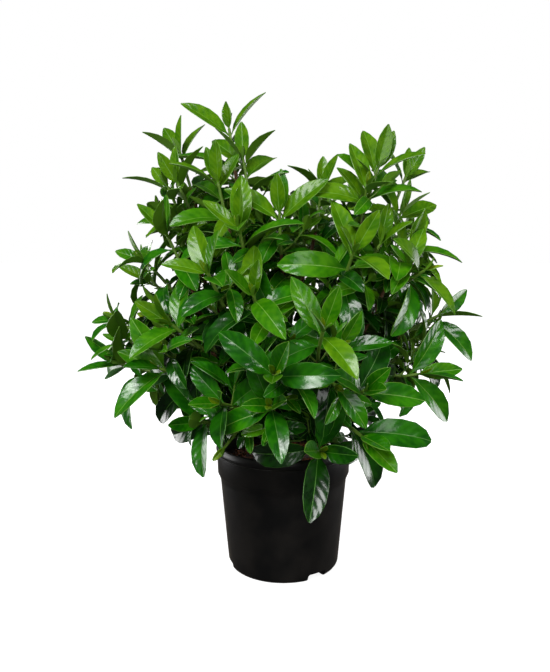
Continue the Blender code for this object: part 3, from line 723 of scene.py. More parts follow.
    def find_stem(
        self, mass: Mass, order: int, foot: tuple[Vector, Vector], tree: BVHTree
    ) -> Twig:
        """A stem for a mass that is clear of all other limbs.

        Args:
            mass: the mass that it carries.
            order: 0 for the stem that goes on from the bough's end, more for those beside it.
            foot: place and direction on the bough where the stem starts.
            tree: search tree of the bough.

        Returns:
            The stem.
        """
        draw = random.Random(STEM_SEED + self.masses.index(mass))
        base, ahead = foot
        aim = (mass.tip - base).normalized()
        rise = OWN_RISE.get(mass.name, SHOOT_RISE)
        arrive = ((mass.tip - CROWN_CORE).normalized() + rise * UP).normalized()
        radii = taper(STEM_RADIUS, SHOOT_RADIUS, STEM_POINTS)
        for attempt in range(STEM_TRIES):
            stray = Vector([draw.uniform(-1, 1) for _ in range(3)]) * (attempt / STEM_TRIES)
            leave = (ahead + STEM_STRAYS[0] * stray).normalized()
            if order:
                square = aim - ahead * aim.dot(ahead) + STEM_STRAYS[1] * stray
                square = square_to(ahead, square)
                leave = (square * STEM_SQUARE + ahead * STEM_AHEAD).normalized()
            start = seat(base, leave, STEM_RADIUS, tree)
            heading = (arrive + STEM_STRAYS[2] * stray).normalized()
            path = swing(start, leave, mass.tip, heading, STEM_POINTS)
            stem = Twig(path, radii, leave, STEM_PAIRS, mass.leaf_length, mass.roll)
            bare = stem.foot(STEM_FOOT_CLEAR)
            if self.space.free(stem.room(TWIG_CLEAR)) and self.space.free(bare, skip="pot"):
                break
        return stem

    def grow_side_shoots(self) -> None:
        """Side shoots: each leaves its mass's stem at an angle and turns up to the light."""
        for index, mass in enumerate(self.masses):
            draw = random.Random(SIDE_SEED + index)
            for _ in range(mass.side_shoots):
                for _ in range(SIDE_TRIES):
                    shoot = self.side_shoot(mass, mass.twigs[0], draw)
                    if shoot is not None:
                        mass.twigs.append(shoot)
                        self.space.add(shoot.shape(), mass.name)
                        break

    def side_shoot(self, mass: Mass, stem: Twig, draw: random.Random) -> Twig | None:
        """One side shoot, tried once.

        Args:
            mass: the mass that it belongs to.
            stem: the twig that it grows from.
            draw: the seeded source of its place and turn.

        Returns:
            The shoot, or None where it would touch something or hang too low.
        """
        base, ahead = stem.point(stem.length() * draw.uniform(SIDE_FROM, SIDE_TO))
        turn = draw.uniform(0, math.tau)
        out = turned(ahead, turn)
        outward = (base - CROWN_CORE).normalized()
        first, second, third = SIDE_LEAVE
        leave = (first * out + second * ahead + third * outward).normalized()
        first, second, third = SIDE_ARRIVE
        arrive = (first * leave + second * outward + third * UP).normalized()
        length = SIDE_SHOOT_LENGTH * draw.uniform(*SIDE_LENGTHS)
        end = base + (leave + arrive).normalized() * length
        size = mass.leaf_length * draw.uniform(*SIDE_LEAVES)
        path = swing(base, leave, end, arrive, SIDE_POINTS)
        radii = [SHOOT_RADIUS * (SIDE_SWELL - SIDE_TAPER * k) for k in range(SIDE_POINTS)]
        if end.z < LOWEST_LEAF:
            return None
        shoot = Twig(path, radii, leave, SIDE_PAIRS, size, turn)
        foot = shoot.foot(SIDE_FOOT_CLEAR)
        if self.space.free(shoot.room(TWIG_CLEAR)) and self.space.free(foot, skip=mass.name):
            return shoot
        return None

    def grow_leaves(self) -> None:
        """Leaves in opposite pairs from the tips down; one that would touch anything is left out."""
        for pair in range(len(PAIR_STEPS)):
            for index, mass in enumerate(self.masses):
                for number, twig in enumerate(mass.twigs):
                    if pair in twig.pairs:
                        seed = LEAF_SEED + index * MASS_STRIDE + number * TWIG_STRIDE
                        self.grow_pair(mass, twig, pair, seed + pair * PAIR_STRIDE)

    def grow_pair(self, mass: Mass, twig: Twig, pair: int, seed: int) -> None:
        """One opposite pair of leaves.

        Args:
            mass: the mass that the twig belongs to.
            twig: the twig that bears them.
            pair: which pair it is, counted from the twig's tip.
            seed: the seed of the pair's small differences.
        """
        lowest = HANGING_LEAF if mass.name in OWN_RISE else LOWEST_LEAF
        if PAIR_STEPS[pair] * MM > twig.length() - BARE_FOOT:
            return
        for which in (0, 1):
            draw = random.Random(seed + which)
            for attempt in range(LEAF_TRIES):
                leaf = self.leaf_at(twig, pair, which, draw)
                if attempt > SHRINK_AFTER:
                    leaf.length *= SHRINK
                if pair == 0 and mass.name == "spire":
                    leaf.length *= SPIRE_BUD
                blade = leaf.solid(LEAF_CLEAR, BLADE_FROM)
                if min(corner.z for corner in blade[0]) < lowest:
                    continue
                if not self.space.free(blade, only=mass.name):
                    continue
                if not self.space.free(leaf.solid(LEAF_CLEAR), skip=mass.name):
                    continue
                twig.leaves.append(leaf)
                self.space.add(leaf.solid(), mass.name)
                break

    def leaf_at(self, twig: Twig, pair: int, which: int, draw: random.Random) -> Leaf:
        """One leaf of a pair: its spread, arch and size follow from its age on the shoot.

        Args:
            twig: the twig that bears it.
            pair: which pair it is in, counted from the twig's tip.
            which: 0 or 1 for the two sides of the twig.
            draw: the seeded source of its small differences.

        Returns:
            The leaf, not yet tested for room.
        """
        root, ahead = twig.point(PAIR_STEPS[pair] * MM * twig.leaf_length / FULL_LEAF)
        turn_drift, spread_drift, bend_drift = PAIR_DRIFTS
        out = turned(ahead, pair_turn(twig, pair, which) + draw.gauss(0, turn_drift))
        young = min(1.0, max(0.0, (twig.path[-1].z - YOUNG_FROM) / YOUNG_RANGE))
        spread = math.radians(PAIR_SPREADS[pair] + draw.gauss(0, spread_drift))
        spread *= 1 - YOUNG_SPREAD * young
        along = opened(ahead, out, spread)
        normal = square_to(along, crown_light(root, ahead) + LIGHT_FRONT * FRONT)
        normal = Matrix.Rotation(draw.gauss(0, LEAF_TWIST), 3, along) @ normal
        bend = math.radians(PAIR_BENDS[pair] + draw.gauss(0, bend_drift))
        bend *= (BEND_LEVEL - BEND_UPRIGHT * abs(along.z)) * (1 - YOUNG_BEND * young)
        length = twig.leaf_length * PAIR_SIZES[pair] * draw.uniform(*LEAF_SIZES)
        return Leaf(root + out * ROOT_OFFSET, along, normal, length, bend, pair)


class LeafShade(Enum):
    """The greens that leaves are dealt out in, by their age and, as painted shade, by how deep inside
    the crown and how low they sit.
    """

    BUD = "bud"
    YOUNG = "young"
    FRESH = "fresh"
    BRIGHT = "bright"
    GREEN = "green"
    DEEP = "deep"
    DARK = "dark"


def srgb(code: str) -> tuple[float, float, float, float]:
    """Linear colour of a hex code.

    Args:
        code: the sRGB colour, such as #3e7e12.

    Returns:
        Its linear red, green and blue, and full alpha.
    """
    parts = [int(code[k : k + 2], 16) / 255 for k in (1, 3, 5)]
    linear = [c / 12.92 if c <= 0.04045 else ((c + 0.055) / 1.055) ** 2.4 for c in parts]
    return (*linear, 1.0)


def fill(tree: Tree, node: bpy.types.Node, inputs: dict) -> None:
    """Set the inputs of a node.

    Args:
        tree: the node's tree.
        node: the node.
        inputs: a value or an output socket for each named or numbered input.
    """
    for name, value in inputs.items():
        if isinstance(value, Socket):
            tree.links.new(value, node.inputs[name])
        else:
            node.inputs[name].default_value = value


def add_node(
    tree: Tree, kind: str, inputs: dict | None = None, **settings: object
) -> bpy.types.Node:
    """Add one node to a material, with its settings and links.

    Args:
        tree: the material's node tree.
        kind: the node's type, such as ShaderNodeTexNoise.
        inputs: a value or an output socket for each named or numbered input.
        settings: the node's own properties.

    Returns:
        The node.
    """
    node = tree.nodes.new(kind)
    for name, value in settings.items():
        setattr(node, name, value)
    fill(tree, node, inputs or {})
    return node


def start_material(name: str) -> tuple[bpy.types.Material, Tree, bpy.types.Node]:
    """A new material.

    Args:
        name: its name.

    Returns:
        The material, its node tree and its Principled shader.
    """
    made = bpy.data.materials.new(name)
    made.use_nodes = True
    return made, made.node_tree, made.node_tree.nodes["Principled BSDF"]


def lay_skin(
    tree: Tree, shader: bpy.types.Node, share: Socket, colours: tuple[str, str], height: Socket,
    relief: tuple[float, float],
) -> Socket:
    """Colour a surface with two near tones, and roughen it.

    Args:
        tree: the material's node tree.
        shader: its Principled shader.
        share: the pattern that goes from the first tone to the second.
        colours: hex codes of the two tones.
        height: the pattern of the roughness.
        relief: its strength, and its depth in metres.

    Returns:
        The roughened surface's normal.
    """
    mix = add_node(tree, "ShaderNodeMix", {
        "Factor": share, "A": srgb(colours[0]), "B": srgb(colours[1]),
    }, data_type="RGBA")
    rough = add_node(tree, "ShaderNodeBump", {
        "Height": height, "Strength": relief[0], "Distance": relief[1],
    })
    normal = rough.outputs["Normal"]
    fill(tree, shader, {"Base Color": mix.outputs["Result"], "Normal": normal})
    return normal


# Moulded plastic that has stood in a nursery: almost black with a broad soft shine, greyer where
# it is scuffed or where dust lies on it. The scuffs are about 38 mm across. The mould's grit is
# finer than it shows, so it is drawn 1.1 mm across
@dataclass(frozen=True)
class PlasticFinish:
    """Matte black polypropylene of a nursery pot."""

    colours: tuple[str, str] = ("#050505", "#161412")
    scuff_scale: float = 26.0
    scuff_detail: float = 5.0
    scuff_span: tuple[float, float] = (0.38, 0.66)
    grit_scale: float = 900.0
    grit_detail: float = 2.0
    grit_relief: tuple[float, float] = (0.25, 0.2 * MM)
    roughness: float = 0.40
    gloss: float = 0.38
    dust: float = 0.24
    dust_roughness: float = 0.3
    dust_colour: str = "#9a8a78"

    def material(self) -> bpy.types.Material:
        """Build the pot's plastic.

        Returns:
            The material.
        """
        made, tree, shader = start_material("matte black polypropylene")
        place = add_node(tree, "ShaderNodeTexCoord").outputs["Object"]
        cloud = add_node(tree, "ShaderNodeTexNoise", {
            "Vector": place, "Scale": self.scuff_scale, "Detail": self.scuff_detail,
        })
        low, high = self.scuff_span
        scuffs = add_node(tree, "ShaderNodeMapRange", {
            "Value": cloud.outputs["Fac"], "From Min": low, "From Max": high,
        })
        grit = add_node(tree, "ShaderNodeTexNoise", {
            "Vector": place, "Scale": self.grit_scale, "Detail": self.grit_detail,
        })
        lay_skin(
            tree, shader, scuffs.outputs["Result"], self.colours, grit.outputs["Fac"],
            self.grit_relief,
        )
        fill(tree, shader, {
            "Roughness": self.roughness,
            "Specular IOR Level": self.gloss,
            "Sheen Weight": self.dust,
            "Sheen Roughness": self.dust_roughness,
            "Sheen Tint": srgb(self.dust_colour),
        })
        return made


# Dry bark: two browns in streaks, matte and furrowed. Its scale follows the furrows' width, from
# 4 mm on a twig to 7 mm on a bough, and the streaks are almost three times as long as wide
@dataclass(frozen=True)
class BarkFinish:
    """Bark of the trunk, boughs and twigs, or of the mulch."""

    name: str
    light: str
    dark: str
    scale: float
    roughness: float = 0.85
    detail: float = 6.0
    stretch: float = 0.35
    span: tuple[float, float] = (0.35, 0.65)
    relief: tuple[float, float] = (0.6, 0.5 * MM)

    def material(self) -> bpy.types.Material:
        """Build the bark.

        Returns:
            The material.
        """
        made, tree, shader = start_material(self.name)
        place = add_node(tree, "ShaderNodeTexCoord").outputs["Object"]
        streaks = add_node(tree, "ShaderNodeMapping", {
            "Vector": place, "Scale": (1.0, 1.0, self.stretch),
        })
        furrows = add_node(tree, "ShaderNodeTexNoise", {
            "Vector": streaks.outputs["Vector"], "Scale": self.scale, "Detail": self.detail,
        })
        low, high = self.span
        ridges = add_node(tree, "ShaderNodeMapRange", {
            "Value": furrows.outputs["Fac"], "From Min": low, "From Max": high,
        })
        lay_skin(
            tree, shader, ridges.outputs["Result"], (self.dark, self.light),
            furrows.outputs["Fac"], self.relief,
        )
        fill(tree, shader, {"Roughness": self.roughness})
        return made


# A waxed evergreen blade: deep green with a soft shine in broad highlights, and faintly quilted
# where its side veins sink, seven on each side. The green's patches are 18 mm across. The leaf's
# grain is finer than it shows, so it is drawn 3.3 mm across
@dataclass(frozen=True)
class BladeFinish:
    """The waxy upper face of a leaf of one shade."""

    shade: LeafShade
    colour: str
    tint: str
    roughness: float
    wax: float
    wax_roughness: float = 0.18
    gloss: float = 0.06
    patch_scale: float = 55.0
    patch_detail: float = 2.0
    patch_span: tuple[float, float] = (0.36, 0.64)
    midrib: float = 0.5
    vein_slant: float = -0.42
    vein_turns: float = 44.0
    vein_colour: float = 0.14
    vein_height: float = 0.5
    grain_scale: float = 300.0
    grain_detail: float = 1.0
    relief: tuple[float, float] = (0.26, 0.6 * MM)

    def veins(self, tree: Tree, blade: Socket) -> Socket:
        """Waves that slant from the midrib towards the tip, as the side veins do.

        Args:
            tree: the material's node tree.
            blade: the place on the blade, across it and along it.

        Returns:
            The waves, from -1 to 1.
        """
        split = add_node(tree, "ShaderNodeSeparateXYZ", {"Vector": blade})
        wave = split.outputs["X"]
        for operation, others in (
            ("SUBTRACT", {1: self.midrib}),
            ("ABSOLUTE", {}),
            ("MULTIPLY_ADD", {1: self.vein_slant, 2: split.outputs["Y"]}),
            ("MULTIPLY", {1: self.vein_turns}),
            ("SINE", {}),
        ):
            step = add_node(tree, "ShaderNodeMath", {0: wave, **others}, operation=operation)
            wave = step.outputs[0]
        return wave

    def material(self) -> bpy.types.Material:
        """Build the leaf's upper face.

        Returns:
            The material.
        """
        made, tree, shader = start_material(f"leaf {self.shade.value}")
        source = add_node(tree, "ShaderNodeTexCoord")
        place = source.outputs["Object"]
        veins = self.veins(tree, source.outputs["UV"])
        cloud = add_node(tree, "ShaderNodeTexNoise", {
            "Vector": place, "Scale": self.patch_scale, "Detail": self.patch_detail,
        })
        low, high = self.patch_span
        patches = add_node(tree, "ShaderNodeMapRange", {
            "Value": cloud.outputs["Fac"], "From Min": low, "From Max": high,
        })
        share = add_node(tree, "ShaderNodeMath", {
            0: veins, 1: self.vein_colour, 2: patches.outputs["Result"],
        }, operation="MULTIPLY_ADD")
        grain = add_node(tree, "ShaderNodeTexNoise", {
            "Vector": place, "Scale": self.grain_scale, "Detail": self.grain_detail,
        })
        height = add_node(tree, "ShaderNodeMath", {
            0: veins, 1: self.vein_height, 2: grain.outputs["Fac"],
        }, operation="MULTIPLY_ADD")
        normal = lay_skin(
            tree, shader, share.outputs[0], (self.colour, self.tint), height.outputs[0],
            self.relief,
        )
        fill(tree, shader, {
            "Coat Normal": normal,
            "Roughness": self.roughness,
            "Coat Weight": self.wax,
            "Coat Roughness": self.wax_roughness,
            "Specular IOR Level": self.gloss,
        })
        return made


# Leaf tissue without wax: paler and duller than the blade, so that midrib and margin draw fine lines
# and the underside looks soft. The margin's pale line is partly a painted edge highlight, and the
# underside's paleness is partly painted light that shines through the leaf. Its patches are 6 mm across
@dataclass(frozen=True)
class TissueFinish:
    """The pale midrib and margin, the matte underside, or a young green twig."""

    name: str
    colours: tuple[str, str]
    roughness: float
    scale: float = 160.0
    detail: float = 3.0
    relief: tuple[float, float] = (0.2, 0.3 * MM)

    def material(self) -> bpy.types.Material:
        """Build the finish: two near greens in soft patches.

        Returns:
            The material.
        """
        made, tree, shader = start_material(self.name)
        place = add_node(tree, "ShaderNodeTexCoord").outputs["Object"]
        cloud = add_node(tree, "ShaderNodeTexNoise", {
            "Vector": place, "Scale": self.scale, "Detail": self.detail,
        })
        patches = cloud.outputs["Fac"]
        lay_skin(tree, shader, patches, self.colours, patches, self.relief)
        fill(tree, shader, {"Roughness": self.roughness})
        return made


# Youngest first: the blades grow darker, smoother and more waxed with age. The darker greens are also
# dealt to inner and lower leaves as painted shade
BLADES = (
    BladeFinish(LeafShade.BUD, "#587608", "#789214", 0.42, 0.4),
    BladeFinish(LeafShade.YOUNG, "#386a03", "#578409", 0.40, 0.5),
    BladeFinish(LeafShade.FRESH, "#276502", "#437e07", 0.38, 0.6),
    BladeFinish(LeafShade.BRIGHT, "#165802", "#2f7403", 0.37, 0.7),
    BladeFinish(LeafShade.GREEN, "#0c4502", "#216403", 0.36, 0.74),
    BladeFinish(LeafShade.DEEP, "#063201", "#165003", 0.35, 0.78),
    BladeFinish(LeafShade.DARK, "#032001", "#0e3a02", 0.34, 0.78),
)
# The darker shades, partly painted shade, take the dull midrib and margin
DARK_SHADES = (LeafShade.GREEN, LeafShade.DEEP, LeafShade.DARK)
# The midrib is paler by its own colour; the pale margin is partly a painted edge highlight
RIB = TissueFinish("pale midrib and margin", ("#54841f", "#64922c"), 0.45)
DARK_RIB = TissueFinish("dull midrib and margin", ("#326412", "#3e721b"), 0.45)
# The underside's pale green is partly its own colour and partly painted light shining through the leaf
UNDERSIDE = TissueFinish("matte leaf underside", ("#4e7c0c", "#5c8912"), 0.6)
GREEN_TWIG = TissueFinish("young green twig", ("#557a22", "#66862c"), 0.5)
BROWN_TWIG = BarkFinish("reddish brown twig", "#7a5a3a", "#4a3020", 260.0)
OLD_BARK = BarkFinish("grey brown bark", "#7c6248", "#3f2c1e", 150.0)
MULCH_BED = BarkFinish("damp bark mulch", "#4a2a18", "#20110a", 190.0, 0.95)
MULCH_CHIP = BarkFinish("bark chip", "#8a4f2c", "#55301b", 240.0, 0.9)


def select_only(thing: bpy.types.Object) -> None:
    """Make one object active and the only one selected.

    Args:
        thing: the object.
    """
    bpy.ops.object.select_all(action="DESELECT")
    thing.select_set(True)
    bpy.context.view_layer.objects.active = thing


def apply_place(thing: bpy.types.Object) -> None:
    """Put an object's place, turn and size into its mesh."""
    select_only(thing)
    bpy.ops.object.transform_apply(location=True, rotation=True, scale=True)


def apply_modifiers(thing: bpy.types.Object) -> None:
    """Apply all modifiers of an object, in order.

    Args:
        thing: the object.
    """
    select_only(thing)
    for modifier in list(thing.modifiers):
        bpy.ops.object.modifier_apply(modifier=modifier.name)


def face_outwards(thing: bpy.types.Object, merge: float = 0.0) -> None:
    """Turn all faces of closed shells outwards.

    Args:
        thing: the object.
        merge: corners that are nearer to each other than this become one first.
    """
    select_only(thing)
    bpy.ops.object.mode_set(mode="EDIT")
    bpy.ops.mesh.select_all(action="SELECT")
    if merge:
        bpy.ops.mesh.remove_doubles(threshold=merge)
    bpy.ops.mesh.normals_make_consistent(inside=False)
    bpy.ops.object.mode_set(mode="OBJECT")


def raise_rings(name: str, segments: int, rings: list[tuple[float, float]]) -> bpy.types.Object:
    """Extrude a turned piece ring by ring from a disc.

    Args:
        name: the piece's name.
        segments: how many corners each ring has.
        rings: radius and height of the disc and of each ring after it.

    Returns:
        The piece.
    """
    radius, height = rings[0]
    bpy.ops.object.select_all(action="DESELECT")
    bpy.ops.mesh.primitive_circle_add(
        vertices=segments, radius=radius, fill_type="NGON", location=(0, 0, height)
    )
    thing = bpy.context.object
    thing.name = name
    apply_place(thing)
    bpy.ops.object.mode_set(mode="EDIT")
    bpy.ops.mesh.select_all(action="SELECT")
    for wide, high in rings[1:]:
        bpy.ops.mesh.extrude_region_move(TRANSFORM_OT_translate={"value": (0, 0, high - height)})
        share = wide / radius
        bpy.ops.transform.resize(value=(share, share, 1), center_override=(0, 0, high))
        radius, height = wide, high
    bpy.ops.object.mode_set(mode="OBJECT")
    face_outwards(thing)
    return thing


def join_shapes(name: str, corners: list[Vector], faces: list[tuple[int, ...]]) -> bpy.types.Object:
    """One piece from the corners and faces of many closed shapes.

    Args:
        name: the piece's name.
        corners: the corners of all shapes.
        faces: their faces, as places in the list of corners.

    Returns:
        The piece.
    """
    mesh = bpy.data.meshes.new(name)
    mesh.from_pydata([tuple(corner) for corner in corners], [], faces)
    thing = bpy.data.objects.new(name, mesh)
    bpy.context.scene.collection.objects.link(thing)
    face_outwards(thing)
    return thing


def dress(
    thing: bpy.types.Object, finishes: list[bpy.types.Material], angle: float,
    nodes: list[str],
) -> None:
    """Give a piece its finishes, its smooth shading and its place on the body.

    Args:
        thing: the finished piece.
        finishes: its materials, the first one all over it.
        angle: edges sharper than this stay sharp, in degrees.
        nodes: the solids that it stands for.
    """
    thing.data.materials.clear()
    for finish in finishes:
        thing.data.materials.append(finish)
    select_only(thing)
    bpy.ops.object.shade_smooth_by_angle(angle=math.radians(angle))
    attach(thing, BODY)
    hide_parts(*nodes)
    LOG.info("%s: %d faces", thing.name, len(thing.data.polygons))


@dataclass
class NurseryPot:
    """The pot: a smooth wall, a moulded bead, a straight collar and a rolled lip.

    The bead's rings are given outwards and upwards from the wall's top, in widths of a soft edge.
    """

    segments: int = 96
    corner: float = 8 * MM
    corner_steps: int = 6
    soft_edge: float = 0.8 * MM
    bead: tuple[tuple[float, float], ...] = ((-0.5, -4.0), (-0.15, -2.4), (0.15, -1.0), (0.5, 0.6))
    shoulder_ease: float = 1.6
    collar_ease: float = 0.2 * MM
    lip_steps: int = 8
    lip_from: float = -math.pi / 3
    lip_sweep: float = math.pi * 4 / 3
    wall: float = 1.6 * MM
    lip_step: float = 1.2 * MM
    lip_drop: float = 2 * MM
    inside_foot: float = 120 * MM
    notch_angles: tuple[float, ...] = (36.5, 160.0, -75.0)
    notch_width: float = 30 * MM
    notch_depth: float = 26 * MM
    notch_height: float = 10 * MM
    notch_slant: float = 3 * MM
    sharp: float = 30.0
    finish: PlasticFinish = PlasticFinish()

    def profile(self) -> list[tuple[float, float]]:
        """The pot's outline, from the underside up, over the lip and down inside.

        Returns:
            Radius and height of each ring.
        """
        rings = []
        for k in range(self.corner_steps + 1):
            turn = math.pi / 2 * k / self.corner_steps
            rings.append((
                POT_FOOT_RADIUS - self.corner * (1 - math.sin(turn)),
                self.corner * (1 - math.cos(turn)),
            ))
        soft = self.soft_edge
        rings += [(POT_WALL_TOP_RADIUS + out * soft, POT_WALL_TOP + up * soft) for out, up in self.bead]
        rings += [
            (POT_SHOULDER_RADIUS - soft, POT_SHOULDER_TOP - self.shoulder_ease * soft),
            (POT_SHOULDER_RADIUS, POT_SHOULDER_TOP),
            (POT_COLLAR_RADIUS - self.collar_ease, POT_COLLAR_TOP - soft),
            (POT_COLLAR_RADIUS, POT_COLLAR_TOP),
        ]
        middle = 0.5 * (POT_LIP_RADIUS + POT_LIP_BORE)
        half = 0.5 * (POT_LIP_RADIUS - POT_LIP_BORE)
        rise = 0.5 * (POT_HEIGHT - POT_COLLAR_TOP)
        for k in range(self.lip_steps + 1):
            turn = self.lip_from + self.lip_sweep * k / self.lip_steps
            rings.append((middle + half * math.cos(turn), POT_HEIGHT - rise + rise * math.sin(turn)))
        rings += [
            (POT_COLLAR_RADIUS - self.wall - self.lip_step, POT_COLLAR_TOP - self.lip_drop),
            (POT_SHOULDER_RADIUS - self.wall, POT_SHOULDER_TOP),
            (POT_WALL_TOP_RADIUS - self.wall, self.inside_foot),
        ]
        return rings

    def build(self) -> None:
        """Extrude the pot ring by ring, then cut its drainage notches."""
        pot = raise_rings("nursery_pot", self.segments, self.profile())
        cutters = [self.cutter(math.radians(degrees)) for degrees in self.notch_angles]
        for cutter in cutters:
            cut = pot.modifiers.new("notch", "BOOLEAN")
            cut.operation = "DIFFERENCE"
            cut.object = cutter
        apply_modifiers(pot)
        for cutter in cutters:
            bpy.data.objects.remove(cutter)
        dress(pot, [self.finish.material()], self.sharp, ["pot"])

    def cutter(self, angle: float) -> bpy.types.Object:
        """One block with slanted corners that stands for a drainage notch.

        Args:
            angle: the notch's place, counted from the front towards the right, in radians.

        Returns:
            The cutter.
        """
        place = (POT_FOOT_RADIUS * math.sin(angle), -POT_FOOT_RADIUS * math.cos(angle), 0.0)
        bpy.ops.mesh.primitive_cube_add(size=1.0, location=place, rotation=(0.0, 0.0, angle))
        made = bpy.context.object
        made.scale = (self.notch_width, 2 * self.notch_depth, 2 * self.notch_height)
        apply_place(made)
        slant = made.modifiers.new("slant", "BEVEL")
        slant.width = self.notch_slant
        slant.segments = 2
        apply_modifiers(made)
        return made


@dataclass
class MulchBed:
    """The soil's crumbled top, and the bark chips strewn on it.

    The bed's top is drawn in ring by ring: share of the last ring's radius, and rise in mm.
    A chip's outline is given in halves of its length and width.
    """

    radius: float = POT_SHOULDER_RADIUS - 2.4 * MM
    thickness: float = 16 * MM
    edge_drop: float = 3 * MM
    segments: int = 64
    top_rings: tuple[tuple[float, float], ...] = (
        (0.9, 2.0), (0.8, 0.4), (0.8, 0.2), (0.75, 0.1), (0.7, 0.1), (0.6, 0.1),
    )
    clod_size: float = 9 * MM
    clod_height: float = 1.6 * MM
    clod_level: float = 0.9
    bed_sharp: float = 50.0
    chips: int = 420
    chip_edge: float = 9 * MM
    chip_sink: float = 1.2 * MM
    chip_fall: float = 2.6 * MM
    chip_fall_from: float = 0.85
    chip_least_reach: float = 0.05
    chip_length: float = 13 * MM
    chip_lengths: tuple[float, float] = (0.4, 1.2)
    chip_widths: tuple[float, float] = (0.14, 0.3)
    chip_thickness: float = 0.07
    chip_tilt: float = 0.25
    chip_wear: tuple[float, float] = (0.85, 1.0)
    chip_outline: tuple[tuple[float, float], ...] = (
        (-1, -0.7), (0.1, -1), (1, -0.3), (0.8, 0.9), (-0.7, 1),
    )
    chip_sharp: float = 25.0
    seed: int = 7

    def build(self) -> None:
        """Build the bed, lumpy all over, and its chips."""
        radius, height = self.radius, SOIL_TOP - self.edge_drop
        rings = [(radius, SOIL_TOP - self.thickness), (radius, height)]
        for share, rise in self.top_rings:
            radius, height = radius * share, height + rise * MM
            rings.append((radius, height))
        bed = raise_rings("mulch_bed", self.segments, rings)
        clods = bpy.data.textures.new("clods", "CLOUDS")
        clods.noise_scale = self.clod_size
        lumps = bed.modifiers.new("lumps", "DISPLACE")
        lumps.texture = clods
        lumps.strength = self.clod_height
        lumps.mid_level = self.clod_level
        apply_modifiers(bed)
        dress(bed, [MULCH_BED.material()], self.bed_sharp, ["soil"])
        self.build_chips()

    def build_chips(self) -> None:
        """Strew flat bark chips over the soil, clear of the trunk."""
        draw = random.Random(self.seed)
        corners, faces = [], []
        for _ in range(self.chips):
            faces += shell(len(corners), 2, len(self.chip_outline))
            corners += self.chip(draw)
        chips = join_shapes("bark_chips", corners, faces)
        dress(chips, [MULCH_CHIP.material()], self.chip_sharp, ["soil"])

    def chip(self, draw: random.Random) -> list[Vector]:
        """The corners of one chip.

        Args:
            draw: the seeded source of its place, turn and size.

        Returns:
            The corners of its lower face, then those of its upper face.
        """
        turn, reach = draw.uniform(0, math.tau), math.sqrt(draw.uniform(self.chip_least_reach, 1.0))
        centre = Vector((math.sin(turn), math.cos(turn), 0)) * reach * (self.radius - self.chip_edge)
        fall = max(0.0, reach - self.chip_fall_from) / (1 - self.chip_fall_from)
        centre.z = SOIL_TOP - self.chip_sink - self.chip_fall * fall
        length = self.chip_length * draw.uniform(*self.chip_lengths)
        width = length * draw.uniform(*self.chip_widths)
        half = Vector((length / 2, width, length * self.chip_thickness))
        spin = (
            Matrix.Rotation(draw.uniform(0, math.tau), 3, "Z")
            @ Matrix.Rotation(draw.gauss(0, self.chip_tilt), 3, "X")
            @ Matrix.Rotation(draw.gauss(0, self.chip_tilt), 3, "Y")
        )
        return [
            centre + spin @ Vector((x * half.x, y * half.y, z * half.z))
            * draw.uniform(*self.chip_wear)
            for z in (-1, 1)
            for x, y in self.chip_outline
        ]


@dataclass
class Limbs:
    """Trunk and boughs with the relief of their bark."""

    ring_points: int = 4
    trunk_relief: float = 1.1 * MM
    bough_relief: float = 0.77 * MM
    relief_scale: float = 4.5 * MM
    roundness: int = 6
    merge: float = 0.01 * MM
    sharp: float = 60.0

    def build(self, shrub: Shrub) -> None:
        """Build every limb along its path.

        Args:
            shrub: the grown shrub.
        """
        finish = OLD_BARK.material()
        ridges = bpy.data.textures.new("bark ridges", "STUCCI")
        ridges.noise_scale = self.relief_scale
        limbs = {"trunk": shrub.trunk}
        limbs.update({f"bough_{name}": limb for name, limb in shrub.boughs.items()})
        for name, limb in limbs.items():
            piece = self.limb(f"{name}_bark", limb)
            rough = piece.modifiers.new("relief", "DISPLACE")
            rough.texture = ridges
            rough.strength = self.trunk_relief if name == "trunk" else self.bough_relief
            apply_modifiers(piece)
            dress(piece, [finish], self.sharp, [name])

    def limb(self, name: str, limb: Limb) -> bpy.types.Object:
        """A round tapering limb drawn as a path, then turned into a mesh.

        Args:
            name: the piece's name.
            limb: its path and radii.

        Returns:
            The limb's mesh object.
        """
        bpy.ops.object.select_all(action="DESELECT")
        bpy.ops.curve.primitive_nurbs_path_add()
        thing = bpy.context.object
        thing.name = name
        line = thing.data
        line.splines.clear()
        path = finer(limb.path, self.ring_points)
        spline = line.splines.new("POLY")
        spline.points.add(len(path) - 1)
        for point, place, radius in zip(spline.points, path, spread_radii(limb.radii, len(path))):
            point.co = (*place, 1.0)
            point.radius = radius / MM
        line.dimensions = "3D"
        line.bevel_depth = 1.0 * MM
        line.bevel_resolution = self.roundness
        line.use_fill_caps = True
        line.resolution_u = 1
        select_only(thing)
        bpy.ops.object.convert(target="MESH")
        face_outwards(thing, self.merge)
        apply_place(thing)
        return thing


def finer(path: list[Vector], steps: int) -> list[Vector]:
    """A smooth line through the same points, with more of them.

    Args:
        path: the points to pass through.
        steps: how many points each stretch becomes.

    Returns:
        The points of the finer line.
    """
    line = [2 * path[0] - path[1], *path, 2 * path[-1] - path[-2]]
    points = []
    for a, b, c, d in zip(line, line[1:], line[2:], line[3:]):
        for k in range(steps):
            t = k / steps
            points.append(0.5 * (
                2 * b + (c - a) * t + (2 * a - 5 * b + 4 * c - d) * t * t
                + (3 * b - a - 3 * c + d) * t**3
            ))
    points.append(path[-1].copy())
    return points


def spread_radii(radii: list[float], count: int) -> list[float]:
    """Radii spread evenly over a finer line's points.

    Args:
        radii: the radii at the first line's points.
        count: how many points the finer line has.

    Returns:
        The radius at each of them.
    """
    spread = []
    for k in range(count):
        place = k / (count - 1) * (len(radii) - 1)
        low = min(int(place), len(radii) - 2)
        spread.append(radii[low] + (radii[low + 1] - radii[low]) * (place - low))
    return spread


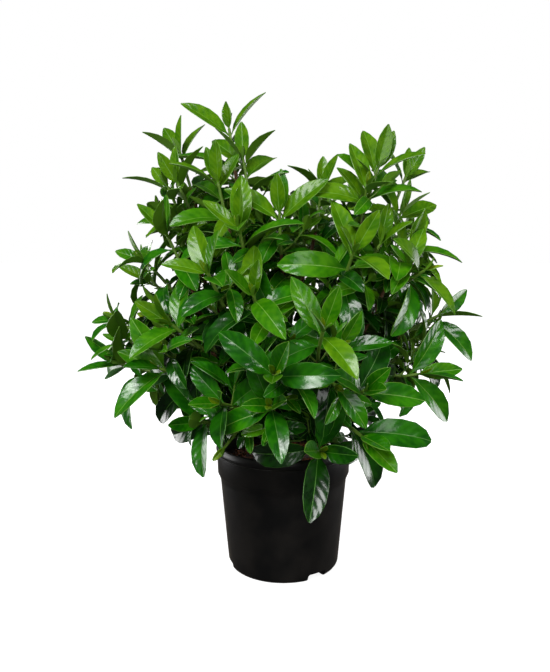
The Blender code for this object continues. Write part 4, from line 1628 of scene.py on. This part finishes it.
@dataclass
class FineGrowth:
    """The finer growth within the solids' reach: inner leaves, sprigs and buds."""

    shrub: Shrub
    box: list[list[float]]
    margin: float = 2 * MM
    droop: float = 8 * MM
    tries: int = 6
    leaf_from: float = 0.2
    leaf_lengths: tuple[float, float] = (0.85, 1.1)
    turn_drift: float = 0.3
    spread_drift: float = 12.0
    bend_drift: float = 10.0
    shrink: float = 0.08
    inner_pairs: int = 5
    inner_step: float = 27 * MM
    inner_from: float = 0.8
    inner_size: float = 0.86
    inner_sizes: tuple[float, float] = (0.7, 1.0)
    bare_foot: float = 10 * MM
    sprigs_on_stem: int = 4
    sprigs_on_shoot: int = 2
    sprig_places: tuple[float, float] = (0.25, 0.85)
    sprig_ahead: float = 0.7
    sprig_up: float = 0.7
    sprig_length: float = 34 * MM
    sprig_lengths: tuple[float, float] = (0.7, 1.3)
    sprig_radii: tuple[float, ...] = (1.3 * MM, 1.1 * MM, 0.9 * MM)
    sprig_leaf: float = 56 * MM
    sprig_leaves: tuple[float, float] = (0.8, 1.2)
    sprig_pairs: tuple[tuple[float, float], ...] = (
        (1 * MM, 0.55), (8 * MM, 0.9), (22 * MM, 1.0),
    )
    bud_leaf: float = 24 * MM
    bud_lengths: tuple[float, float] = (0.7, 1.1)
    bud_open: float = 0.22
    bud_bend: float = 0.2
    leaves: list[tuple[Leaf, int]] = field(default_factory=list)
    sprigs: list[Twig] = field(default_factory=list)

    def __post_init__(self) -> None:
        """Keep a margin within the solids' box."""
        self.low = [value + self.margin for value in self.box[0]]
        self.high = [value - self.margin for value in self.box[1]]

    def grow(self) -> None:
        """Grow the finer parts of every mass."""
        for index, mass in enumerate(self.shrub.masses):
            draw = random.Random(FINE_SEED + index)
            for number, twig in enumerate(mass.twigs):
                self.inner_leaves(twig, draw)
                for _ in range(self.sprigs_on_shoot if number else self.sprigs_on_stem):
                    self.sprig(twig, draw)
                self.bud(twig, draw)

    def fits(self, shape: Shape) -> bool:
        """Whether a shape lies within the solids' box and touches nothing.

        Args:
            shape: its corners and faces.

        Returns:
            True if it does.
        """
        floor, roof = bounds(shape[0])
        inside = all(self.low[k] < floor[k] and roof[k] < self.high[k] for k in range(3))
        return inside and floor[2] > LOWEST_LEAF - self.droop and self.shrub.space.free(shape)

    def add_leaf(
        self, twig: Twig, back: float, age: int, which: int, size: float, draw: random.Random
    ) -> None:
        """One leaf of the finer growth, tried a few times.

        Args:
            twig: the twig that bears it.
            back: its distance from the twig's tip.
            age: its place in the order of pairs, higher where older.
            which: 0 or 1 for the two sides of the twig.
            size: its length.
            draw: the seeded source of its small differences.
        """
        root, ahead = twig.point(back)
        pair = min(age, len(PAIR_SPREADS) - 1)
        for attempt in range(self.tries):
            out = turned(ahead, pair_turn(twig, age, which) + draw.gauss(0, self.turn_drift))
            spread = math.radians(PAIR_SPREADS[pair] + draw.gauss(0, self.spread_drift))
            along = opened(ahead, out, spread)
            normal = square_to(along, crown_light(root, ahead))
            bend = math.radians(PAIR_BENDS[pair] + draw.gauss(0, self.bend_drift))
            length = size * draw.uniform(*self.leaf_lengths) * (1.0 - self.shrink * attempt)
            leaf = Leaf(root + out * ROOT_OFFSET, along, normal, length, bend, pair)
            blade = leaf.solid(0.0, self.leaf_from)
            if self.fits(blade):
                self.leaves.append((leaf, age))
                self.shrub.space.add(blade, "fine")
                return

    def inner_leaves(self, twig: Twig, draw: random.Random) -> None:
        """Older pairs further down a twig than the solids have them.

        Args:
            twig: the twig that bears them.
            draw: the seeded source of their small differences.
        """
        last = PAIR_STEPS[max(twig.pairs)] * MM * (twig.leaf_length / FULL_LEAF)
        for k in range(self.inner_pairs):
            back = last + self.inner_step * (k + self.inner_from)
            if back > twig.length() - self.bare_foot:
                return
            for which in (0, 1):
                size = twig.leaf_length * self.inner_size * draw.uniform(*self.inner_sizes)
                self.add_leaf(twig, back, len(PAIR_STEPS) + k, which, size, draw)

    def sprig(self, twig: Twig, draw: random.Random) -> None:
        """A short young sprig from a twig's side, with pairs of small leaves.

        Args:
            twig: the twig that it grows from.
            draw: the seeded source of its place, turn and size.
        """
        for _ in range(self.tries):
            base, ahead = twig.point(twig.length() * draw.uniform(*self.sprig_places))
            turn = draw.uniform(0, math.tau)
            leave = (turned(ahead, turn) + self.sprig_ahead * ahead).normalized()
            arrive = (leave + self.sprig_up * UP).normalized()
            length = self.sprig_length * draw.uniform(*self.sprig_lengths)
            end = base + (leave + arrive).normalized() * length
            path = swing(base, leave, end, arrive, len(self.sprig_radii))
            size = self.sprig_leaf * draw.uniform(*self.sprig_leaves)
            made = Twig(path, list(self.sprig_radii), leave, (), size, turn)
            if self.fits(made.room(0.0)):
                self.sprigs.append(made)
                self.shrub.space.add(made.shape(), "fine")
                for age, (back, share) in enumerate(self.sprig_pairs):
                    for which in (0, 1):
                        self.add_leaf(made, back, age, which, size * share, draw)
                return

    def bud(self, twig: Twig, draw: random.Random) -> None:
        """Two small folded leaves that point on from a shoot's tip.

        Args:
            twig: the shoot.
            draw: the seeded source of their small differences.
        """
        root, ahead = twig.point(0.0)
        for which in (0, 1):
            out = turned(ahead, pair_turn(twig, 1, which) + draw.gauss(0, self.turn_drift))
            along = (ahead + out * self.bud_open).normalized()
            length = self.bud_leaf * draw.uniform(*self.bud_lengths)
            tip = root + along * length
            if all(self.low[k] < tip[k] < self.high[k] for k in range(3)):
                leaf = Leaf(root, along, square_to(along, -out), length, self.bud_bend, 0)
                self.leaves.append((leaf, -1))


@dataclass
class Foliage:
    """All leaves and twigs, dealt out by shade and joined into a piece for each.

    A blade's rows are shares of its length, its widths shares of its widest row. A row's section
    is a ring of corners: the upper face from left to right, then the underside back.
    """

    nodes: list[str]
    rows: tuple[float, ...] = (0.0, 0.10, 0.22, 0.38, 0.55, 0.73, 0.89, 1.0)
    widths: tuple[float, ...] = (0.0, 0.14, 0.62, 0.93, 1.0, 0.86, 0.47, 0.03)
    old_widths: tuple[float, ...] = (0.0, 0.14, 0.64, 0.95, 1.0, 0.92, 0.60, 0.10)
    old_below: float = 250 * MM
    ring_marks: tuple[float, ...] = (0.0, 0.23, 0.47, 0.53, 0.77, 1.0, 1.0, 0.5, 0.0)
    ring_finishes: tuple[int, ...] = (0, 0, 1, 0, 0, 1, 2, 2, 1)
    petiole: float = 1.0 * MM
    petiole_rib: float = 0.35
    petiole_fold: float = 0.3
    petiole_keel: float = 1.6
    rib: float = 0.032
    fold: float = 0.26
    sink: float = 0.14
    bulge: float = 0.07
    bulge_place: float = 0.55
    thickness: float = 0.7 * MM
    margin: float = 0.55 * MM
    margin_start: float = 2.0
    margin_drop: float = 0.45 * MM
    blade_sharp: float = 30.0
    shade_start: float = 1.5
    shade_age: float = 0.7
    # Painted shade: how much darker the greens are dealt deep inside the crown and low down
    painted_shade_inner: float = 2.2
    painted_shade_low: float = 3.2
    shade_drift: float = 0.8
    green_reach: float = 62 * MM
    twig_sides: int = 7
    twig_points: int = 4
    twig_sink: float = 1.5 * MM
    sprig_points: int = 3
    twig_sharp: float = 60.0

    def section(self, leaf: Leaf, share: float, width: float) -> list[Vector]:
        """The nine corners of a leaf's section: each half of the blade bulges up a little.

        Args:
            leaf: the leaf.
            share: how far along the blade the section is.
            width: the blade's half width there, as a share of the widest.

        Returns:
            Upper face from left to right, then the underside back.
        """
        centre, side, normal = leaf.place(share)
        blade = width > 0
        half = max(width * leaf.length * LEAF_SLENDERNESS, self.petiole)
        lift = normal * (self.fold * half * (1.0 if blade else self.petiole_fold))
        rib = side * max(self.rib * half, self.petiole_rib * self.petiole)
        edge = side * half
        swell = normal * ((0.5 * (self.fold - self.sink) + self.bulge) * half)
        rim = side * (half + self.margin * min(1.0, width * self.margin_start))
        drop = normal * self.margin_drop
        low = centre - normal * (self.sink * half)
        return [
            centre - edge + lift, centre - self.bulge_place * edge + swell, low - rib,
            low + rib, centre + self.bulge_place * edge + swell, centre + edge + lift,
            centre + rim + lift - drop,
            low - normal * (self.thickness if blade else self.petiole_keel * self.thickness),
            centre - rim + lift - drop,
        ]

    def leaf_piece(self, name: str, leaves: list[Leaf], finishes: list[bpy.types.Material]) -> None:
        """Join leaves into one piece.

        Args:
            name: the piece's name.
            leaves: the leaves of one shade.
            finishes: upper face, midrib and margin, and underside.
        """
        corners, faces, kinds, marks = [], [], [], []
        for leaf in leaves:
            faces += shell(len(corners), len(self.rows), len(self.ring_marks))
            kinds += self.ring_finishes * (len(self.rows) - 1) + (1, 1)
            old = leaf.pair > 1 or leaf.root.z < self.old_below
            for share, width in zip(self.rows, self.old_widths if old else self.widths):
                corners += self.section(leaf, share, width)
                marks += [(mark, share) for mark in self.ring_marks]
        thing = join_shapes(name, corners, faces)
        mesh = thing.data
        layer = mesh.uv_layers.new(name="blade")
        for loop in mesh.loops:
            layer.data[loop.index].uv = marks[loop.vertex_index]
        dress(thing, finishes, self.blade_sharp, self.nodes)
        mesh.polygons.foreach_set("material_index", kinds)

    def shade_of(self, leaf: Leaf, age: int, draw: random.Random) -> LeafShade:
        """The shade of a leaf: young leaves are lighter and old ones darker, and inner and lower leaves
        are darker as painted shade.

        Args:
            leaf: the leaf.
            age: its place in the order of pairs, below 0 in a bud.
            draw: the seeded source of small differences.

        Returns:
            The shade.
        """
        if age < 0:
            return LeafShade.BUD
        centre = leaf.place(0.5)[0]
        # Painted shade: leaves deep inside the crown and low down are dealt darker greens for the shade
        # that falls there
        depth = 1.0 - min(1.0, (centre - CROWN_CORE).length / CROWN_HALF_HEIGHT)
        low = (CROWN_MIDDLE - centre.z) / CROWN_MIDDLE
        value = self.shade_start + self.shade_age * age + self.painted_shade_inner * depth
        value += self.painted_shade_low * low + draw.gauss(0, self.shade_drift)
        order = list(LeafShade)
        return order[max(1, min(len(order) - 1, round(value)))]

    def build(self, shrub: Shrub, fine: FineGrowth) -> None:
        """Deal the leaves out by shade, and build them and the twigs.

        Args:
            shrub: the grown shrub.
            fine: its finer growth.
        """
        draw = random.Random(SHADE_SEED)
        dealt: dict[LeafShade, list[Leaf]] = {shade: [] for shade in LeafShade}
        twigs = [twig for mass in shrub.masses for twig in mass.twigs]
        grown = [(leaf, leaf.pair) for twig in twigs for leaf in twig.leaves]
        for leaf, age in grown + fine.leaves:
            dealt[self.shade_of(leaf, age, draw)].append(leaf)
        rib, dark_rib, under = (finish.material() for finish in (RIB, DARK_RIB, UNDERSIDE))
        for blade in BLADES:
            leaves = dealt[blade.shade]
            LOG.info("%s: %d leaves", blade.shade.value, len(leaves))
            finishes = [blade.material(), dark_rib if blade.shade in DARK_SHADES else rib, under]
            self.leaf_piece(f"leaves_{blade.shade.value}", leaves, finishes)
        self.build_twigs(twigs, fine.sprigs)

    def build_twigs(self, twigs: list[Twig], sprigs: list[Twig]) -> None:
        """Build the twigs: green near their tips, reddish brown where they are older.

        Args:
            twigs: the stems and side shoots of all masses.
            sprigs: the finer growth's sprigs, which are all green.
        """
        green: list[Shape] = []
        brown: list[Shape] = []
        for twig in twigs:
            self.split_twig(twig, green, brown)
        for twig in sprigs:
            path = finer(twig.path, self.sprig_points)
            radii = spread_radii(twig.radii, len(path))
            green.append(tube(path, radii, self.twig_sides, twig.leave))
        for name, shapes, finish, slot in (
            ("twigs_green", green, GREEN_TWIG, "leaves"),
            ("twigs_brown", brown, BROWN_TWIG, "bark"),
        ):
            corners, faces = [], []
            for shape in shapes:
                faces += [tuple(len(corners) + k for k in face) for face in shape[1]]
                corners += shape[0]
            thing = join_shapes(name, corners, faces)
            dress(thing, [finish.material()], self.twig_sharp, self.nodes)

    def split_twig(self, twig: Twig, green: list[Shape], brown: list[Shape]) -> None:
        """Cut a twig's tube where its green growth begins.

        Args:
            twig: the twig.
            green: where the young end's shape goes.
            brown: where the older end's shape goes.
        """
        path = finer(twig.path, self.twig_points)
        radii = spread_radii(twig.radii, len(path))
        path[0] = path[0] - twig.leave * self.twig_sink
        left, cut = self.green_reach, 0
        for k in range(len(path) - 1, 0, -1):
            left -= (path[k] - path[k - 1]).length
            if left <= 0:
                cut = k
                break
        if cut > 1:
            brown.append(tube(path[: cut + 1], radii[: cut + 1], self.twig_sides, twig.leave))
            leave = (path[cut + 1] - path[cut]).normalized()
            green.append(tube(path[cut:], radii[cut:], self.twig_sides, leave))
        else:
            green.append(tube(path, radii, self.twig_sides, twig.leave))


@dataclass
class Studio:
    """The camera at the photograph's viewing angle, a plain white floor and soft lights.

    Each soft light has a name, a place, the side of its square and its power in watts.
    """

    image: tuple[int, int] = (550, 672)
    camera_place: tuple[float, float, float] = (0.0, -1.0, 0.45)
    look_down: float = 0.04
    focal_pixels: float = 712.6
    axis_pixel: tuple[float, float] = (283.4, 272.5)
    sensor: float = 36.0
    nearest: float = 0.01
    floor_size: float = 30.0
    floor_grey: float = 0.5
    floor_roughness: float = 0.9
    paper_glow: float = 0.86
    room_light: float = 0.055
    sun_power: float = 2.1
    sun_width: float = 26.0
    sun_from: tuple[float, float, float] = (-0.25, -0.8, 1.0)
    lights: tuple[tuple[str, tuple[float, float, float], float, float], ...] = (
        ("key", (-0.8, -1.5, 1.4), 0.6, 17.0),
        ("fill", (1.3, -1.2, 0.9), 0.5, 10.0),
        ("front", (0.1, -1.7, 0.35), 0.7, 5.0),
        ("rim left", (-0.9, 0.25, 0.15), 0.5, 4.0),
        ("rim right", (0.9, 0.25, 0.15), 0.5, 4.0),
        ("back left", (-0.7, 1.5, 0.7), 0.6, 9.0),
        ("back right", (0.8, 1.4, 0.5), 0.6, 7.0),
    )

    def build(self) -> None:
        """Set the camera, the floor, the world and the lights."""
        bpy.context.scene.view_settings.view_transform = "Standard"
        self.camera()
        self.floor()
        self.world()
        self.sun()
        for name, place, size, power in self.lights:
            data = bpy.data.lights.new(name, "AREA")
            data.size = size
            data.energy = power
            thing = self.stand(name, data)
            thing.location = place
            thing.rotation_euler = (CROWN_CORE - Vector(place)).to_track_quat("-Z", "Y").to_euler()

    def stand(self, name: str, data: bpy.types.ID) -> bpy.types.Object:
        """Put a camera or a light into the scene.

        Args:
            name: its name.
            data: its settings.

        Returns:
            The object.
        """
        thing = bpy.data.objects.new(name, data)
        bpy.context.scene.collection.objects.link(thing)
        return thing

    def camera(self) -> None:
        """Place the camera, with the small shift that the photograph's framing needs."""
        data = bpy.data.cameras.new("camera")
        wide, high = self.image
        largest = max(wide, high)
        data.sensor_width = self.sensor
        data.lens = self.focal_pixels * self.sensor / largest
        data.shift_x = (wide / 2 - self.axis_pixel[0]) / largest
        data.shift_y = (self.axis_pixel[1] - high / 2) / largest
        data.clip_start = self.nearest
        thing = self.stand("camera", data)
        thing.location = self.camera_place
        thing.rotation_euler = (math.pi / 2 - self.look_down, 0.0, 0.0)
        bpy.context.scene.camera = thing

    def floor(self) -> None:
        """Lay the plain pale floor."""
        bpy.ops.object.select_all(action="DESELECT")
        bpy.ops.mesh.primitive_plane_add(size=self.floor_size, location=(0, 0, 0))
        floor = bpy.context.object
        floor.name = "studio_floor"
        made, tree, shader = start_material("white studio paper")
        fill(tree, shader, {
            "Base Color": (self.floor_grey, self.floor_grey, self.floor_grey, 1.0),
            "Roughness": self.floor_roughness,
            "Emission Color": WHITE,
            "Emission Strength": self.paper_glow,
        })
        floor.data.materials.append(made)
        floor.visible_diffuse = False
        floor.visible_glossy = False
        floor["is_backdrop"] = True

    def world(self) -> None:
        """Fill the room with even white light, behind a white backdrop."""
        world = bpy.data.worlds.new("white room")
        world.use_nodes = True
        tree = world.node_tree
        room = tree.nodes["Background"]
        fill(tree, room, {"Color": WHITE, "Strength": self.room_light})
        paper = add_node(tree, "ShaderNodeBackground", {"Color": WHITE})
        seen = add_node(tree, "ShaderNodeLightPath").outputs["Is Camera Ray"]
        mix = add_node(tree, "ShaderNodeMixShader", {
            0: seen, 1: room.outputs["Background"], 2: paper.outputs["Background"],
        })
        fill(tree, tree.nodes["World Output"], {"Surface": mix.outputs["Shader"]})
        bpy.context.scene.world = world

    def sun(self) -> None:
        """A wide overhead light that falls evenly on plant and floor."""
        data = bpy.data.lights.new("overhead", "SUN")
        data.energy = self.sun_power
        data.angle = math.radians(self.sun_width)
        thing = self.stand("overhead", data)
        thing.rotation_euler = Vector(self.sun_from).to_track_quat("Z", "Y").to_euler()


def main() -> None:
    """Build the dressed plant on its frame, one sub-assembly after another."""
    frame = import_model()
    solids = [[float(value) for value in corner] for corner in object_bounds()]
    Studio().build()
    shrub = Shrub()
    shrub.grow()
    LOG.info("grown: %d masses", len(shrub.masses))
    NurseryPot().build()
    MulchBed().build()
    Limbs().build(shrub)
    fine = FineGrowth(shrub, solids)
    fine.grow()
    LOG.info("finer growth: %d leaves, %d sprigs", len(fine.leaves), len(fine.sprigs))
    nodes = sorted(name for name in frame["nodes"] if name.startswith("foliage_"))
    Foliage(nodes).build(shrub, fine)


if __name__ == "__main__":
    main()
